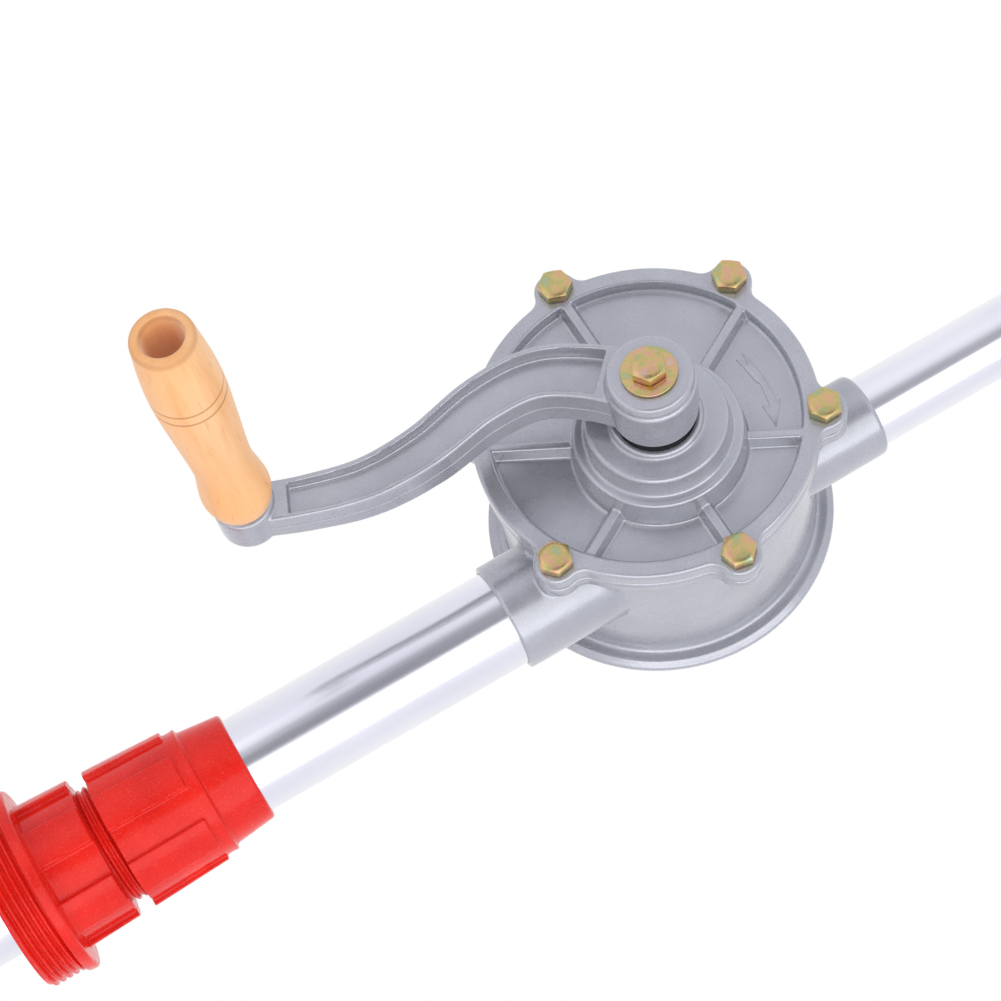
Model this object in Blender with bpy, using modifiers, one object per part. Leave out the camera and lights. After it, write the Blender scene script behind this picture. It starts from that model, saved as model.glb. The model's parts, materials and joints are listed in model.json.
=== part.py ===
"""Rotary hand pump for a drum, with its bung adapter and crank.

Metres, +Z up. The origin is the middle of the bung adapter's seat, on the
suction pipe's axis. The suction pipe runs down -Z into the drum and the
discharge pipe runs up +Z. The crank shaft lies along Y and the cover faces -Y.

The pump head is modelled in its own frame: local z is the height above the
cover's front face (towards -Y), local x is +X and local y is +Z.
"""

import math

import bmesh
import bpy
from mathutils import Matrix, Vector

# ---------------------------------------------------------------- dimensions

fit_gap = 0.0003  # air left between pieces that touch or fit

# pipes
suction_pipe_radius = 0.0160
suction_pipe_wall = 0.0015
discharge_pipe_radius = 0.01205
discharge_pipe_wall = 0.0013
discharge_shift = 0.0009  # the discharge axis sits this far towards +X
pipe_section_length = 0.329
pipe_section_count = 3
coupling_length = 0.040
coupling_wall = 0.0022
spout_straight = 0.115  # above the discharge socket
spout_bend_radius = 0.062
spout_bend_angle = math.radians(140)
spout_tip_length = 0.045

# place of the pump head on the pipe
chamber_height = 0.2343  # chamber axis above the bung seat
chamber_offset = 0.0231  # chamber axis from the pipe axis, towards -X
cover_stand_off = 0.0122  # cover's front face from the suction pipe's near side, towards -Y
rotor_offset = 0.0090  # shaft axis from the chamber axis, towards +X

# housing
chamber_radius = 0.0480
chamber_wall = 0.0044
housing_depth = 0.0685  # cover's front face to the back
back_wall = 0.0050
back_flange_overhang = 0.0102  # past the chamber's bore
back_flange_thickness = 0.0046
mount_flange_thickness = 0.0050
socket_depth = 0.022  # how far a pipe sits in its socket
suction_socket_rise = 0.0207  # chamber's bore to the socket's end
suction_socket_wall = 0.00175
discharge_socket_rise = 0.0184
discharge_socket_wall = 0.0019
rear_boss_radius = 0.0135
rear_boss_height = 0.0060
rear_boss_cap = 0.0014  # metal left behind the rear bush

# cover
rim_overhang = 0.0074  # past the chamber's bore
rim_thickness = 0.0055
recess_overhang = 0.0015
recess_depth = 0.0046
cover_plate = 0.0035
gasket_thickness = 0.0004
gasket_width = 0.0037
hub_base_radius = 0.0277
hub_base_height = 0.0061
hub_top_radius = 0.0232
hub_top_height = 0.0144
hub_draft = 0.0008
hub_lip_radius = 0.0147
hub_lip_height = 0.0020
rib_count = 6
rib_width = 0.0056
rib_crown = 0.0028
rib_sink = 0.0003  # rib top below the rim

# cover bolts
bolt_circle_overhang = 0.0082  # past the chamber's bore
bolt_radius = 0.0030
bolt_head_across_flats = 0.0100
bolt_head_height = 0.0040
bolt_hole_clearance = 0.0004
ear_radius = 0.0072
ear_fillet = 0.0050

# shaft, rotor and vanes
shaft_radius = 0.0060
bush_wall = 0.0027
bush_shoulder = 0.0015
seal_wall = 0.0030
seal_height = 0.0052
vane_count = 2
vane_thickness = 0.0050
vane_height = 0.0180
vane_spring_radius = 0.0021
vane_spring_wire = 0.0006
vane_spring_pocket = 0.0100
vane_spring_room = 0.0030

# crank
crank_radius = 0.1278
crank_swing = math.radians(15.1)  # from hanging straight down, towards -X
crank_clearance = 0.0032  # cover hub to the crank's underside
arm_hub_thickness = 0.0170
arm_grip_thickness = 0.0106
arm_web = 0.0040
arm_hub_width = 0.0200
arm_grip_width = 0.0134
arm_rim = 0.0018
crank_hub_radius = 0.0140
crank_hub_height = 0.0225
crank_boss_radius = 0.0095
crank_boss_height = 0.0168  # above the crank's underside
crank_bends = ((0.13, 0.080), (0.26, 0.118), (0.40, 0.089), (0.55, 0.018), (0.70, -0.022), (0.85, -0.020))
washer_radius = 0.0087
washer_thickness = 0.0013
crank_bolt_length = 0.018

# grip
grip_length = 0.0985
grip_base_radius = 0.0082
grip_bulb_radius = 0.0108
grip_neck_radius = 0.0092
grip_swell_radius = 0.0111
grip_tip_radius = 0.0092
grip_counterbore_radius = 0.0064
grip_counterbore_depth = 0.040
grip_pin_radius = 0.0030
grip_pin_head_height = 0.0035
grip_washer_thickness = 0.0010
grip_end_play = 0.0006

# bung adapter: a G2 thread below the flange, a smaller one above it
bung_thread_radius = 0.0298
bung_thread_pitch = 0.002309
bung_thread_turns = 5
bung_thread_depth = 0.00125
bung_skirt_wall = 0.0034
flange_overhang = 0.0013  # past the bung thread's crests
flange_thickness = 0.0038
body_height = 0.0223  # seat to the top of the gripped body
body_shoulder = 0.0023  # past the neck thread's crests
body_lug_rise = 0.0025
neck_wall = 0.0033  # the pipe's bore to the neck thread's crests
neck_thread_pitch = 0.0023
neck_thread_depth = 0.0010
neck_thread_turns = 10
neck_thread_ridges = 3  # cut at the lower end, the part that the nut leaves bare
lug_count = 6
lug_angle = math.radians(31)
pipe_bore_clearance = 0.0003

# clamp nut, seal and slip washer
nut_start = 0.0274  # bung seat to the nut's lower edge
nut_skirt_height = 0.0292
nut_skirt_wall = 0.0012  # at its upper end
nut_skirt_flare = 0.0009
nut_lug_rise = 0.0018
nut_collar_height = 0.0018
nut_neck_wall = 0.0034
nut_neck_height = 0.0144
nut_neck_taper = 0.0014
seal_ring_height = 0.0027
slip_washer_thickness = 0.0010

# smoothness
round_steps = 40
middle_steps = 28
small_steps = 20
hole_steps = 12
cutter_turn = math.radians(1.7)  # so that a bore's edges miss the spokes of a round face

# ------------------------------------------------------------ derived places

chamber_x = -chamber_offset
shaft_x = chamber_x + rotor_offset
cover_face_offset = suction_pipe_radius + cover_stand_off
plate_under = -(recess_depth + cover_plate)
rim_under = -rim_thickness
gasket_top = rim_under - fit_gap
gasket_bottom = gasket_top - gasket_thickness
housing_front = gasket_bottom - fit_gap
chamber_back = -housing_depth + back_wall
housing_radius = chamber_radius + chamber_wall
back_flange_radius = chamber_radius + back_flange_overhang
rim_radius = chamber_radius + rim_overhang
recess_radius = chamber_radius + recess_overhang
bolt_circle_radius = chamber_radius + bolt_circle_overhang
rotor_radius = chamber_radius - rotor_offset - fit_gap
bush_radius = shaft_radius + fit_gap + bush_wall
seal_radius = shaft_radius + fit_gap + seal_wall
hub_crown = hub_top_height + hub_lip_height
crank_under = hub_crown + crank_clearance
crank_top = crank_under + crank_hub_height
arm_middle = crank_under + arm_hub_thickness / 2
boss_top = crank_under + crank_boss_height
boss_under = arm_middle - arm_grip_thickness / 2
web_top = arm_middle + arm_web / 2
web_under = arm_middle - arm_web / 2
shaft_front = crank_top - 0.0010
suction_socket_end = chamber_height - chamber_radius - suction_socket_rise
discharge_socket_end = chamber_height + chamber_radius + discharge_socket_rise
bung_thread_length = bung_thread_pitch * (bung_thread_turns + 0.2)
neck_top = body_height + neck_thread_pitch * neck_thread_turns
pipe_bore = suction_pipe_radius + pipe_bore_clearance
neck_thread_radius = pipe_bore + neck_wall
body_radius = neck_thread_radius + body_shoulder
flange_radius = bung_thread_radius + flange_overhang
nut_bore = neck_thread_radius + fit_gap
nut_skirt_radius = nut_bore + nut_skirt_wall
nut_neck_radius = pipe_bore + nut_neck_wall
seal_top = neck_top + fit_gap + seal_ring_height
slip_washer_top = seal_top + fit_gap + slip_washer_thickness
nut_shoulder = slip_washer_top + fit_gap

# --------------------------------------------------------------- scene set-up

for item in list(bpy.data.objects):
    bpy.data.objects.remove(item)

pump = bpy.data.collections.new("drum_barrel_pump")
cutters = bpy.data.collections.new("cutters")
for group in (pump, cutters):
    bpy.context.scene.collection.children.link(group)


def finish(name, colour, roughness, metallic=0.0):
    material = bpy.data.materials.new(name)
    material.use_nodes = True
    shader = material.node_tree.nodes["Principled BSDF"]
    shader.inputs["Base Color"].default_value = (*colour, 1)
    shader.inputs["Roughness"].default_value = roughness
    shader.inputs["Metallic"].default_value = metallic
    return material


painted_casting = finish("painted_casting", (0.38, 0.39, 0.43), 0.38, 0.4)
bright_aluminium = finish("bright_aluminium", (0.80, 0.80, 0.83), 0.22, 1.0)
red_plastic = finish("red_plastic", (0.75, 0.02, 0.01), 0.28)
beech = finish("beech", (0.87, 0.52, 0.24), 0.45)
yellow_zinc = finish("yellow_zinc", (0.62, 0.50, 0.26), 0.30, 1.0)
steel = finish("steel", (0.55, 0.56, 0.58), 0.30, 1.0)
bronze = finish("bronze", (0.55, 0.38, 0.20), 0.40, 1.0)
rubber = finish("rubber", (0.03, 0.03, 0.03), 0.70)
nylon = finish("nylon", (0.80, 0.78, 0.72), 0.45)
gasket_board = finish("gasket_board", (0.22, 0.20, 0.18), 0.80)


def frame_at(name, x, y, z, spin=0.0):
    """An empty whose local z points out of the cover."""
    empty = bpy.data.objects.new(name, None)
    empty.empty_display_size = 0.02
    turn = Matrix.Rotation(math.pi / 2, 4, "X") @ Matrix.Rotation(spin, 4, "Z")
    empty.matrix_world = Matrix.Translation((x, y, z)) @ turn
    pump.objects.link(empty)
    return empty


cover_frame = frame_at("cover_frame", chamber_x, -cover_face_offset, chamber_height)
shaft_frame = frame_at("shaft_frame", shaft_x, -cover_face_offset, chamber_height)
crank_spin = crank_swing + math.pi / 2
crank_frame = frame_at("crank_frame", shaft_x, -cover_face_offset, chamber_height, -crank_spin)
grip_frame = bpy.data.objects.new("grip_frame", None)
grip_frame.parent = crank_frame
grip_frame.location = (crank_radius, 0, 0)
pump.objects.link(grip_frame)


# ------------------------------------------------------------------- helpers


def add(name, mesh, material=None, parent=None, at=(0, 0, 0), spin=0.0, cutter=False):
    thing = bpy.data.objects.new(name, mesh)
    (cutters if cutter else pump).objects.link(thing)
    thing.parent = parent
    thing.location = at
    thing.rotation_euler = (0, 0, spin)
    if cutter:
        thing.hide_render = True
        thing.display_type = "WIRE"
    if material:
        mesh.materials.append(material)
    return thing


def turned(
    name,
    profile,
    material=None,
    parent=None,
    at=(0, 0, 0),
    steps=round_steps,
    spin=0.0,
    closed=False,
    cutter=False,
):
    """A solid of revolution about local z. The (radius, height) profile runs
    from the top of the axis outwards and down; a closed one makes a ring."""
    mesh = bpy.data.meshes.new(name)
    bm = bmesh.new()
    points = [bm.verts.new((r, 0, z)) for r, z in profile]
    for a, b in zip(points, points[1:]):
        bm.edges.new((a, b))
    if closed:
        bm.edges.new((points[-1], points[0]))
    bm.to_mesh(mesh)
    bm.free()
    thing = add(name, mesh, material, parent, at, spin, cutter)
    screw = thing.modifiers.new("turn", "SCREW")
    screw.angle = 2 * math.pi
    screw.steps = steps
    screw.render_steps = steps
    screw.use_merge_vertices = True
    screw.merge_threshold = 0.00001
    return thing


def cylinder(name, radius, low, high, **options):
    return turned(name, [(0, high), (radius, high), (radius, low), (0, low)], **options)


def bore(name, profile, **options):
    """A turned cutter, or a straight one from (radius, low, high)."""
    if not isinstance(profile, list):
        radius, low, high = profile
        profile = [(0, high), (radius, high), (radius, low), (0, low)]
    return turned(name, profile, spin=cutter_turn, cutter=True, **options)


def tube(name, inner, outer, low, high, **options):
    loop = [(inner, high), (outer, high), (outer, low), (inner, low)]
    return turned(name, loop, closed=True, **options)


def arc(cx, cz, radius, start, end, steps=4):
    """Points of a profile arc, angles in degrees from +r towards +z."""
    turns = [math.radians(start + (end - start) * i / steps) for i in range(steps + 1)]
    return [(cx + radius * math.cos(t), cz + radius * math.sin(t)) for t in turns]


def to_mesh(curve_object, flat=False):
    """The curve's evaluated shape as a welded mesh; the curve is removed."""
    bpy.context.view_layer.update()
    graph = bpy.context.evaluated_depsgraph_get()
    mesh = bpy.data.meshes.new_from_object(curve_object.evaluated_get(graph))
    bm = bmesh.new()
    bm.from_mesh(mesh)
    bmesh.ops.remove_doubles(bm, verts=bm.verts, dist=0.00001)
    if flat:
        # one clean face on each side, so that its edges bevel evenly
        inner = [e for e in bm.edges if all(abs(f.normal.z) > 0.99 for f in e.link_faces)]
        bmesh.ops.dissolve_edges(bm, edges=inner)
    bm.to_mesh(mesh)
    bm.free()
    bpy.data.objects.remove(curve_object)
    return mesh


def plate(name, outlines, low, high, material=None, parent=None, at=(0, 0, 0), spin=0.0, cutter=False):
    """A flat plate between two heights from one outline and its holes."""
    curve = bpy.data.curves.new(name, "CURVE")
    curve.dimensions = "2D"
    curve.fill_mode = "BOTH"
    curve.extrude = (high - low) / 2
    for outline in outlines:
        spline = curve.splines.new("POLY")
        spline.points.add(len(outline) - 1)
        for point, (x, y) in zip(spline.points, outline):
            point.co = (x, y, 0, 1)
        spline.use_cyclic_u = True
    shape = bpy.data.objects.new(name, curve)
    bpy.context.scene.collection.objects.link(shape)
    mesh = to_mesh(shape, flat=True)
    mesh.transform(Matrix.Translation((0, 0, (low + high) / 2)))
    return add(name, mesh, material, parent, at, spin, cutter)


def ring_points(radius, count, cx=0.0, cy=0.0, phase=0.0):
    turns = [phase + 2 * math.pi * i / count for i in range(count)]
    return [(cx + radius * math.cos(t), cy + radius * math.sin(t)) for t in turns]


def combine(target, operation, *others):
    for other in others:
        step = target.modifiers.new(f"{operation.lower()}_{other.name}", "BOOLEAN")
        step.operation = operation
        step.solver = "EXACT"
        step.object = other


def cut(target, *others):
    combine(target, "DIFFERENCE", *others)


def unite(target, *others):
    combine(target, "UNION", *others)


def soften(thing, width, segments=2, angle=40):
    bevel = thing.modifiers.new("edges", "BEVEL")
    bevel.width = width
    bevel.segments = segments
    bevel.limit_method = "ANGLE"
    bevel.angle_limit = math.radians(angle)


def shade(thing):
    thing.data.shade_smooth()
    thing.data.set_sharp_from_angle(angle=math.radians(35))


# --------------------------------------------------- outline with bolt ears


def bolt_angles():
    """Around the chamber axis from +X, six bolts with two on the X axis."""
    return [math.radians(60 * i) for i in range(6)]


def eared_outline(radius):
    """A disc with a round ear at each bolt, blended by hollow fillets."""
    reach = radius + ear_fillet
    join = ear_radius + ear_fillet
    lean = math.acos((reach**2 + bolt_circle_radius**2 - join**2) / (2 * reach * bolt_circle_radius))
    points = []
    angles = bolt_angles()
    for i, angle in enumerate(angles):
        bolt = Vector((bolt_circle_radius * math.cos(angle), bolt_circle_radius * math.sin(angle)))
        before = Vector((reach * math.cos(angle - lean), reach * math.sin(angle - lean)))
        after = Vector((reach * math.cos(angle + lean), reach * math.sin(angle + lean)))
        # hollow fillet, from the rim to the ear
        start = (-before).angle_signed(Vector((1, 0)))
        stop = (bolt - before).angle_signed(Vector((1, 0)))
        points += sweep(before, ear_fillet, start, stop, 2)
        start = (before - bolt).angle_signed(Vector((1, 0)))
        stop = (after - bolt).angle_signed(Vector((1, 0)))
        points += sweep(bolt, ear_radius, start, start + (stop - start) % (2 * math.pi), 7)[1:-1]
        start = (bolt - after).angle_signed(Vector((1, 0)))
        stop = (-after).angle_signed(Vector((1, 0)))
        points += sweep(after, ear_fillet, start, stop, 2)
        # rim arc to the next ear
        first = angle + lean
        last = angle + math.radians(60) - lean
        points += sweep(Vector((0, 0)), radius, first, last, 5)[1:-1]
    return points


def sweep(centre, radius, start, stop, steps):
    """Points along an arc, the short way round unless told otherwise."""
    if abs(stop - start) > math.pi and steps < 6:
        stop += math.copysign(2 * math.pi, start - stop)
    turns = [start + (stop - start) * i / steps for i in range(steps + 1)]
    return [(centre.x + radius * math.cos(t), centre.y + radius * math.sin(t)) for t in turns]


def bolt_places():
    return [(bolt_circle_radius * math.cos(a), bolt_circle_radius * math.sin(a)) for a in bolt_angles()]


# ------------------------------------------------------------------- housing

flange_front = -housing_depth + back_flange_thickness
body_front = housing_front - mount_flange_thickness / 2  # inside the bolt flange
housing = turned(
    "pump_housing",
    [(0, body_front), (housing_radius, body_front), (housing_radius, flange_front + 0.0012)]
    + [(housing_radius + 0.0012, flange_front)]
    + arc(back_flange_radius - 0.0020, flange_front - 0.0020, 0.0020, 90, 0, 3)
    + arc(back_flange_radius - 0.0008, -housing_depth + 0.0008, 0.0008, 0, -90, 2)
    + [(0, -housing_depth)],
    painted_casting,
    cover_frame,
)
bolt_flange = plate(
    "bolt_flange",
    [eared_outline(rim_radius - 0.0004)],
    housing_front - mount_flange_thickness,
    housing_front,
    parent=cover_frame,
    cutter=True,
)
suction_socket_radius = pipe_bore + suction_socket_wall
discharge_bore = discharge_pipe_radius + fit_gap
discharge_socket_radius = discharge_bore + discharge_socket_wall
suction_socket = turned(
    "suction_socket",
    [(0, chamber_height)]
    + [(suction_socket_radius, chamber_height)]
    + arc(suction_socket_radius - 0.0007, suction_socket_end + 0.0007, 0.0007, 0, -90, 2)
    + [(0, suction_socket_end)],
    steps=middle_steps,
    cutter=True,
)
discharge_socket = turned(
    "discharge_socket",
    [(0, discharge_socket_end)]
    + arc(discharge_socket_radius - 0.0016, discharge_socket_end - 0.0016, 0.0016, 90, 0, 3)
    + [(discharge_socket_radius, chamber_height), (0, chamber_height)],
    at=(discharge_shift, 0, 0),
    steps=middle_steps,
    cutter=True,
)
unite(housing, bolt_flange, suction_socket, discharge_socket)

port_inner_end = 0.5 * chamber_radius
chamber_bore = bore("chamber_bore", (chamber_radius, chamber_back, housing_front + 0.01), parent=cover_frame)
suction_bore = bore(
    "suction_bore",
    [
        (0, chamber_height - port_inner_end),
        (suction_pipe_radius - suction_pipe_wall, chamber_height - port_inner_end),
        (suction_pipe_radius - suction_pipe_wall, suction_socket_end + socket_depth),
        (pipe_bore, suction_socket_end + socket_depth),
        (pipe_bore, suction_socket_end - 0.01),
        (0, suction_socket_end - 0.01),
    ],
    steps=middle_steps,
)
discharge_port = bore(
    "discharge_port",
    [
        (0, discharge_socket_end + 0.01),
        (discharge_bore, discharge_socket_end + 0.01),
        (discharge_bore, discharge_socket_end - socket_depth),
        (discharge_pipe_radius - discharge_pipe_wall, discharge_socket_end - socket_depth),
        (discharge_pipe_radius - discharge_pipe_wall, chamber_height + port_inner_end),
        (0, chamber_height + port_inner_end),
    ],
    at=(discharge_shift, 0, 0),
    steps=middle_steps,
)
bush_length = back_wall + rear_boss_height - rear_boss_cap - 2 * fit_gap
rear_pocket = bore(
    "rear_pocket",
    (bush_radius + fit_gap, chamber_back - bush_length - 2 * fit_gap, chamber_back + 0.01),
    parent=shaft_frame,
    steps=small_steps,
)
# the rear boss follows the shaft, not the chamber
shaft_boss = turned(
    "shaft_boss",
    [(0, chamber_back - 0.001), (rear_boss_radius, chamber_back - 0.001)]
    + [(rear_boss_radius, -housing_depth - rear_boss_height + 0.0008)]
    + [(rear_boss_radius - 0.0008, -housing_depth - rear_boss_height)]
    + [(0, -housing_depth - rear_boss_height)],
    parent=shaft_frame,
    steps=small_steps,
    cutter=True,
)
unite(housing, shaft_boss)
cut(housing, chamber_bore, suction_bore, discharge_port, rear_pocket)
for n, (x, y) in enumerate(bolt_places(), 1):
    hole = bore(
        f"tapped_hole_{n}",
        (bolt_radius + fit_gap, housing_front - mount_flange_thickness - 0.01, housing_front + 0.01),
        parent=cover_frame,
        at=(x, y, 0),
        steps=hole_steps,
    )
    cut(housing, hole)

# --------------------------------------------------------------------- cover

cover = plate("front_cover", [eared_outline(rim_radius)], rim_under, 0, painted_casting, cover_frame)
soften(cover, 0.0008, 1)
spigot = cylinder("spigot", chamber_radius - fit_gap, plate_under, -0.001, parent=cover_frame, cutter=True)
unite(cover, spigot)
cut(cover, bore("cover_recess", (recess_radius, -recess_depth, 0.01), parent=cover_frame))
hub = turned(
    "cover_hub",
    [(0, hub_crown)]
    + [(hub_lip_radius - 0.0022, hub_crown)]
    + arc(hub_lip_radius - 0.0012, hub_crown - 0.0012, 0.0010, 90, 0, 3)
    + [(hub_lip_radius, hub_top_height - 0.0004)]
    + arc(hub_top_radius - hub_draft - 0.0010, hub_top_height - 0.0010, 0.0010, 90, 5, 3)
    + [(hub_top_radius, hub_base_height)]
    + arc(hub_base_radius - 0.0014, hub_base_height - 0.0010, 0.0010, 90, 5, 3)
    + [(hub_base_radius, -recess_depth - 0.001), (0, -recess_depth - 0.001)],
    parent=shaft_frame,
    cutter=True,
)
unite(cover, hub)


def rib(number, angle):
    """A tapered rib on a radius of the shaft, out to the recess's wall."""
    inner = hub_base_radius - 0.0020
    direction = Vector((math.cos(angle), math.sin(angle)))
    centre = Vector((-rotor_offset, 0))
    along = centre.dot(direction)
    outer = along + math.sqrt(along**2 - centre.length_squared + recess_radius**2) + 0.0010
    bar = bmesh.new()
    bmesh.ops.create_cube(bar, size=1.0)
    low, high = -recess_depth - 0.0005, -rib_sink
    for v in bar.verts:
        width = rib_width if v.co.z < 0 else rib_crown
        v.co.x = inner if v.co.x < 0 else outer
        v.co.y *= width
        v.co.z = low if v.co.z < 0 else high
    mesh = bpy.data.meshes.new(f"rib_{number}")
    bar.to_mesh(mesh)
    bar.free()
    return add(f"rib_{number}", mesh, parent=shaft_frame, spin=angle, cutter=True)


for n in range(rib_count):
    unite(cover, rib(n + 1, 2 * math.pi * n / rib_count))

bush_top = hub_base_height + 0.0010
seal_seat = bush_top + bush_shoulder
cover_bore = bore(
    "cover_bore",
    [
        (0, hub_crown + 0.01),
        (seal_radius + fit_gap, hub_crown + 0.01),
        (seal_radius + fit_gap, seal_seat),
        (shaft_radius + fit_gap, seal_seat),
        (shaft_radius + fit_gap, bush_top),
        (bush_radius + fit_gap, bush_top),
        (bush_radius + fit_gap, plate_under - 0.01),
        (0, plate_under - 0.01),
    ],
    parent=shaft_frame,
    steps=small_steps,
)
cut(cover, cover_bore)
for n, (x, y) in enumerate(bolt_places(), 1):
    hole = bore(
        f"cover_hole_{n}",
        (bolt_radius + bolt_hole_clearance, rim_under - 0.01, 0.01),
        parent=cover_frame,
        at=(x, y, 0),
        steps=hole_steps,
    )
    cut(cover, hole)

tube(
    "cover_gasket",
    chamber_radius + fit_gap,
    chamber_radius + fit_gap + gasket_width,
    gasket_bottom,
    gasket_top,
    material=gasket_board,
    parent=cover_frame,
)


# --------------------------------------------------------------------- bolts


def hex_bolt(name, radius, across_flats, head, length, parent, at, material, turn=0.0):
    """A hexagon-head bolt whose head stands on local z = 0."""
    corner = across_flats / math.sqrt(3)
    skirt = turned(
        f"{name}_chamfer",
        [
            (0, head),
            (across_flats * 0.47, head),
            (corner * 1.02, head - corner * 0.17),
            (corner * 1.02, fit_gap),
            (0, fit_gap),
        ],
        parent=parent,
        at=at,
        steps=small_steps,
        cutter=True,
    )
    shank = turned(
        f"{name}_shank",
        [(0, head / 2), (radius, head / 2), (radius, -length + 0.0006)]
        + [(radius - 0.0006, -length), (0, -length)],
        parent=parent,
        at=at,
        steps=hole_steps,
        cutter=True,
    )
    bolt = plate(name, [ring_points(corner, 6, phase=turn)], fit_gap, head + 0.0002, material, parent, at)
    combine(bolt, "INTERSECT", skirt)
    unite(bolt, shank)
    return bolt


bolt_length = -housing_front + mount_flange_thickness - 0.0006
for n, (x, y) in enumerate(bolt_places(), 1):
    hex_bolt(
        f"cover_bolt_{n}",
        bolt_radius,
        bolt_head_across_flats,
        bolt_head_height + fit_gap,
        bolt_length,
        cover_frame,
        (x, y, 0),
        yellow_zinc,
        math.radians(17 * n),
    )

# ---------------------------------------------------- shaft, bushes and seal

shaft_end = chamber_back - bush_length - fit_gap
shaft = turned(
    "rotor_shaft",
    [(0, shaft_front), (shaft_radius - 0.0005, shaft_front), (shaft_radius, shaft_front - 0.0005)]
    + [(shaft_radius, shaft_end + 0.0005), (shaft_radius - 0.0005, shaft_end), (0, shaft_end)],
    steel,
    shaft_frame,
    steps=small_steps,
)
tapping = bore(
    "shaft_tapping",
    (bolt_radius + fit_gap, crank_top - crank_bolt_length - 0.003, shaft_front + 0.01),
    parent=shaft_frame,
    steps=hole_steps,
)
cut(shaft, tapping)
shaft_bore = shaft_radius + fit_gap
tube(
    "shaft_bush_front",
    shaft_bore,
    bush_radius,
    plate_under,
    bush_top - fit_gap,
    material=bronze,
    parent=shaft_frame,
    steps=small_steps,
)
tube(
    "shaft_bush_rear",
    shaft_bore,
    bush_radius,
    chamber_back - bush_length,
    chamber_back - fit_gap,
    material=bronze,
    parent=shaft_frame,
    steps=small_steps,
)
tube(
    "shaft_seal",
    shaft_bore,
    seal_radius,
    seal_seat + fit_gap,
    seal_seat + fit_gap + seal_height,
    material=rubber,
    parent=shaft_frame,
    steps=small_steps,
)

# ---------------------------------------------------------- rotor and vanes

rotor_front = plate_under - fit_gap
rotor_back = chamber_back + fit_gap
rotor = tube("rotor", shaft_bore, rotor_radius, rotor_back, rotor_front, material=steel, parent=shaft_frame)
slot_floor = rotor_radius - vane_height - vane_spring_room
for n in range(vane_count):
    angle = math.pi / 2 + 2 * math.pi * n / vane_count
    side = "ab"[n]
    slot = bmesh.new()
    bmesh.ops.create_cube(slot, size=1.0)
    for v in slot.verts:
        v.co.x = slot_floor if v.co.x < 0 else rotor_radius + 0.01
        v.co.y *= vane_thickness + 2 * fit_gap
        v.co.z = rotor_back - 0.01 if v.co.z < 0 else rotor_front + 0.01
    mesh = bpy.data.meshes.new(f"vane_slot_{side}")
    slot.to_mesh(mesh)
    slot.free()
    cut(rotor, add(f"vane_slot_{side}", mesh, parent=shaft_frame, spin=angle, cutter=True))

    blade = bmesh.new()
    bmesh.ops.create_cube(blade, size=1.0)
    for v in blade.verts:
        v.co.x = rotor_radius - fit_gap - (vane_height if v.co.x < 0 else 0)
        v.co.y *= vane_thickness
        v.co.z = rotor_back + fit_gap if v.co.z < 0 else rotor_front - fit_gap
    mesh = bpy.data.meshes.new(f"vane_{side}")
    blade.to_mesh(mesh)
    blade.free()
    vane = add(f"vane_{side}", mesh, nylon, shaft_frame, spin=angle)
    # the outer edge is rounded to run on the chamber's wall
    soften(vane, 0.0007, 2)
    pocket_radius = vane_spring_radius + fit_gap
    pocket = bore(
        f"spring_pocket_{side}",
        (pocket_radius, -0.01, vane_spring_pocket),
        steps=hole_steps,
    )
    pocket.parent = shaft_frame
    middle = (rotor_front + rotor_back) / 2
    foot = rotor_radius - fit_gap - vane_height
    across = Matrix.Translation((foot, 0, middle)) @ Matrix.Rotation(math.pi / 2, 4, "Y")
    pocket.matrix_local = Matrix.Rotation(angle, 4, "Z") @ across
    cut(vane, pocket)

    # one compression spring behind each vane
    coil = bpy.data.curves.new(f"vane_spring_{side}", "CURVE")
    coil.dimensions = "3D"
    coil.bevel_depth = vane_spring_wire / 2
    coil.bevel_resolution = 0
    coil.use_fill_caps = True
    start = slot_floor + fit_gap + vane_spring_wire / 2
    stop = foot + vane_spring_pocket - fit_gap - vane_spring_wire / 2
    turns, per_turn = 5, 8
    spline = coil.splines.new("POLY")
    spline.points.add(turns * per_turn)
    wrap = vane_spring_radius - vane_spring_wire / 2
    for i, point in enumerate(spline.points):
        t = 2 * math.pi * i / per_turn
        x = start + (stop - start) * i / (turns * per_turn)
        point.co = (x, wrap * math.cos(t), middle + wrap * math.sin(t), 1)
    shape = bpy.data.objects.new("spring_path", coil)
    bpy.context.scene.collection.objects.link(shape)
    add(f"vane_spring_{side}", to_mesh(shape), steel, shaft_frame, spin=angle)

# --------------------------------------------------------------------- crank


def spline_at(a, b, c, d, t):
    """The Catmull-Rom value between b and c, at share t of the way."""
    square = (2 * a - 5 * b + 4 * c - d) * t**2
    cube = (3 * b - a - 3 * c + d) * t**3
    return 0.5 * (2 * b + (c - a) * t + square + cube)


def smooth_through(points, steps):
    """A Catmull-Rom curve through the points, as (x, y) pairs."""
    first = tuple(2 * a - b for a, b in zip(points[0], points[1]))
    last = tuple(2 * a - b for a, b in zip(points[-1], points[-2]))
    p = [first, *points, last]
    out = []
    for corners in zip(p, p[1:], p[2:], p[3:]):
        for i in range(steps):
            out.append(tuple(spline_at(*values, i / steps) for values in zip(*corners)))
    return out + [points[-1]]


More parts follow.
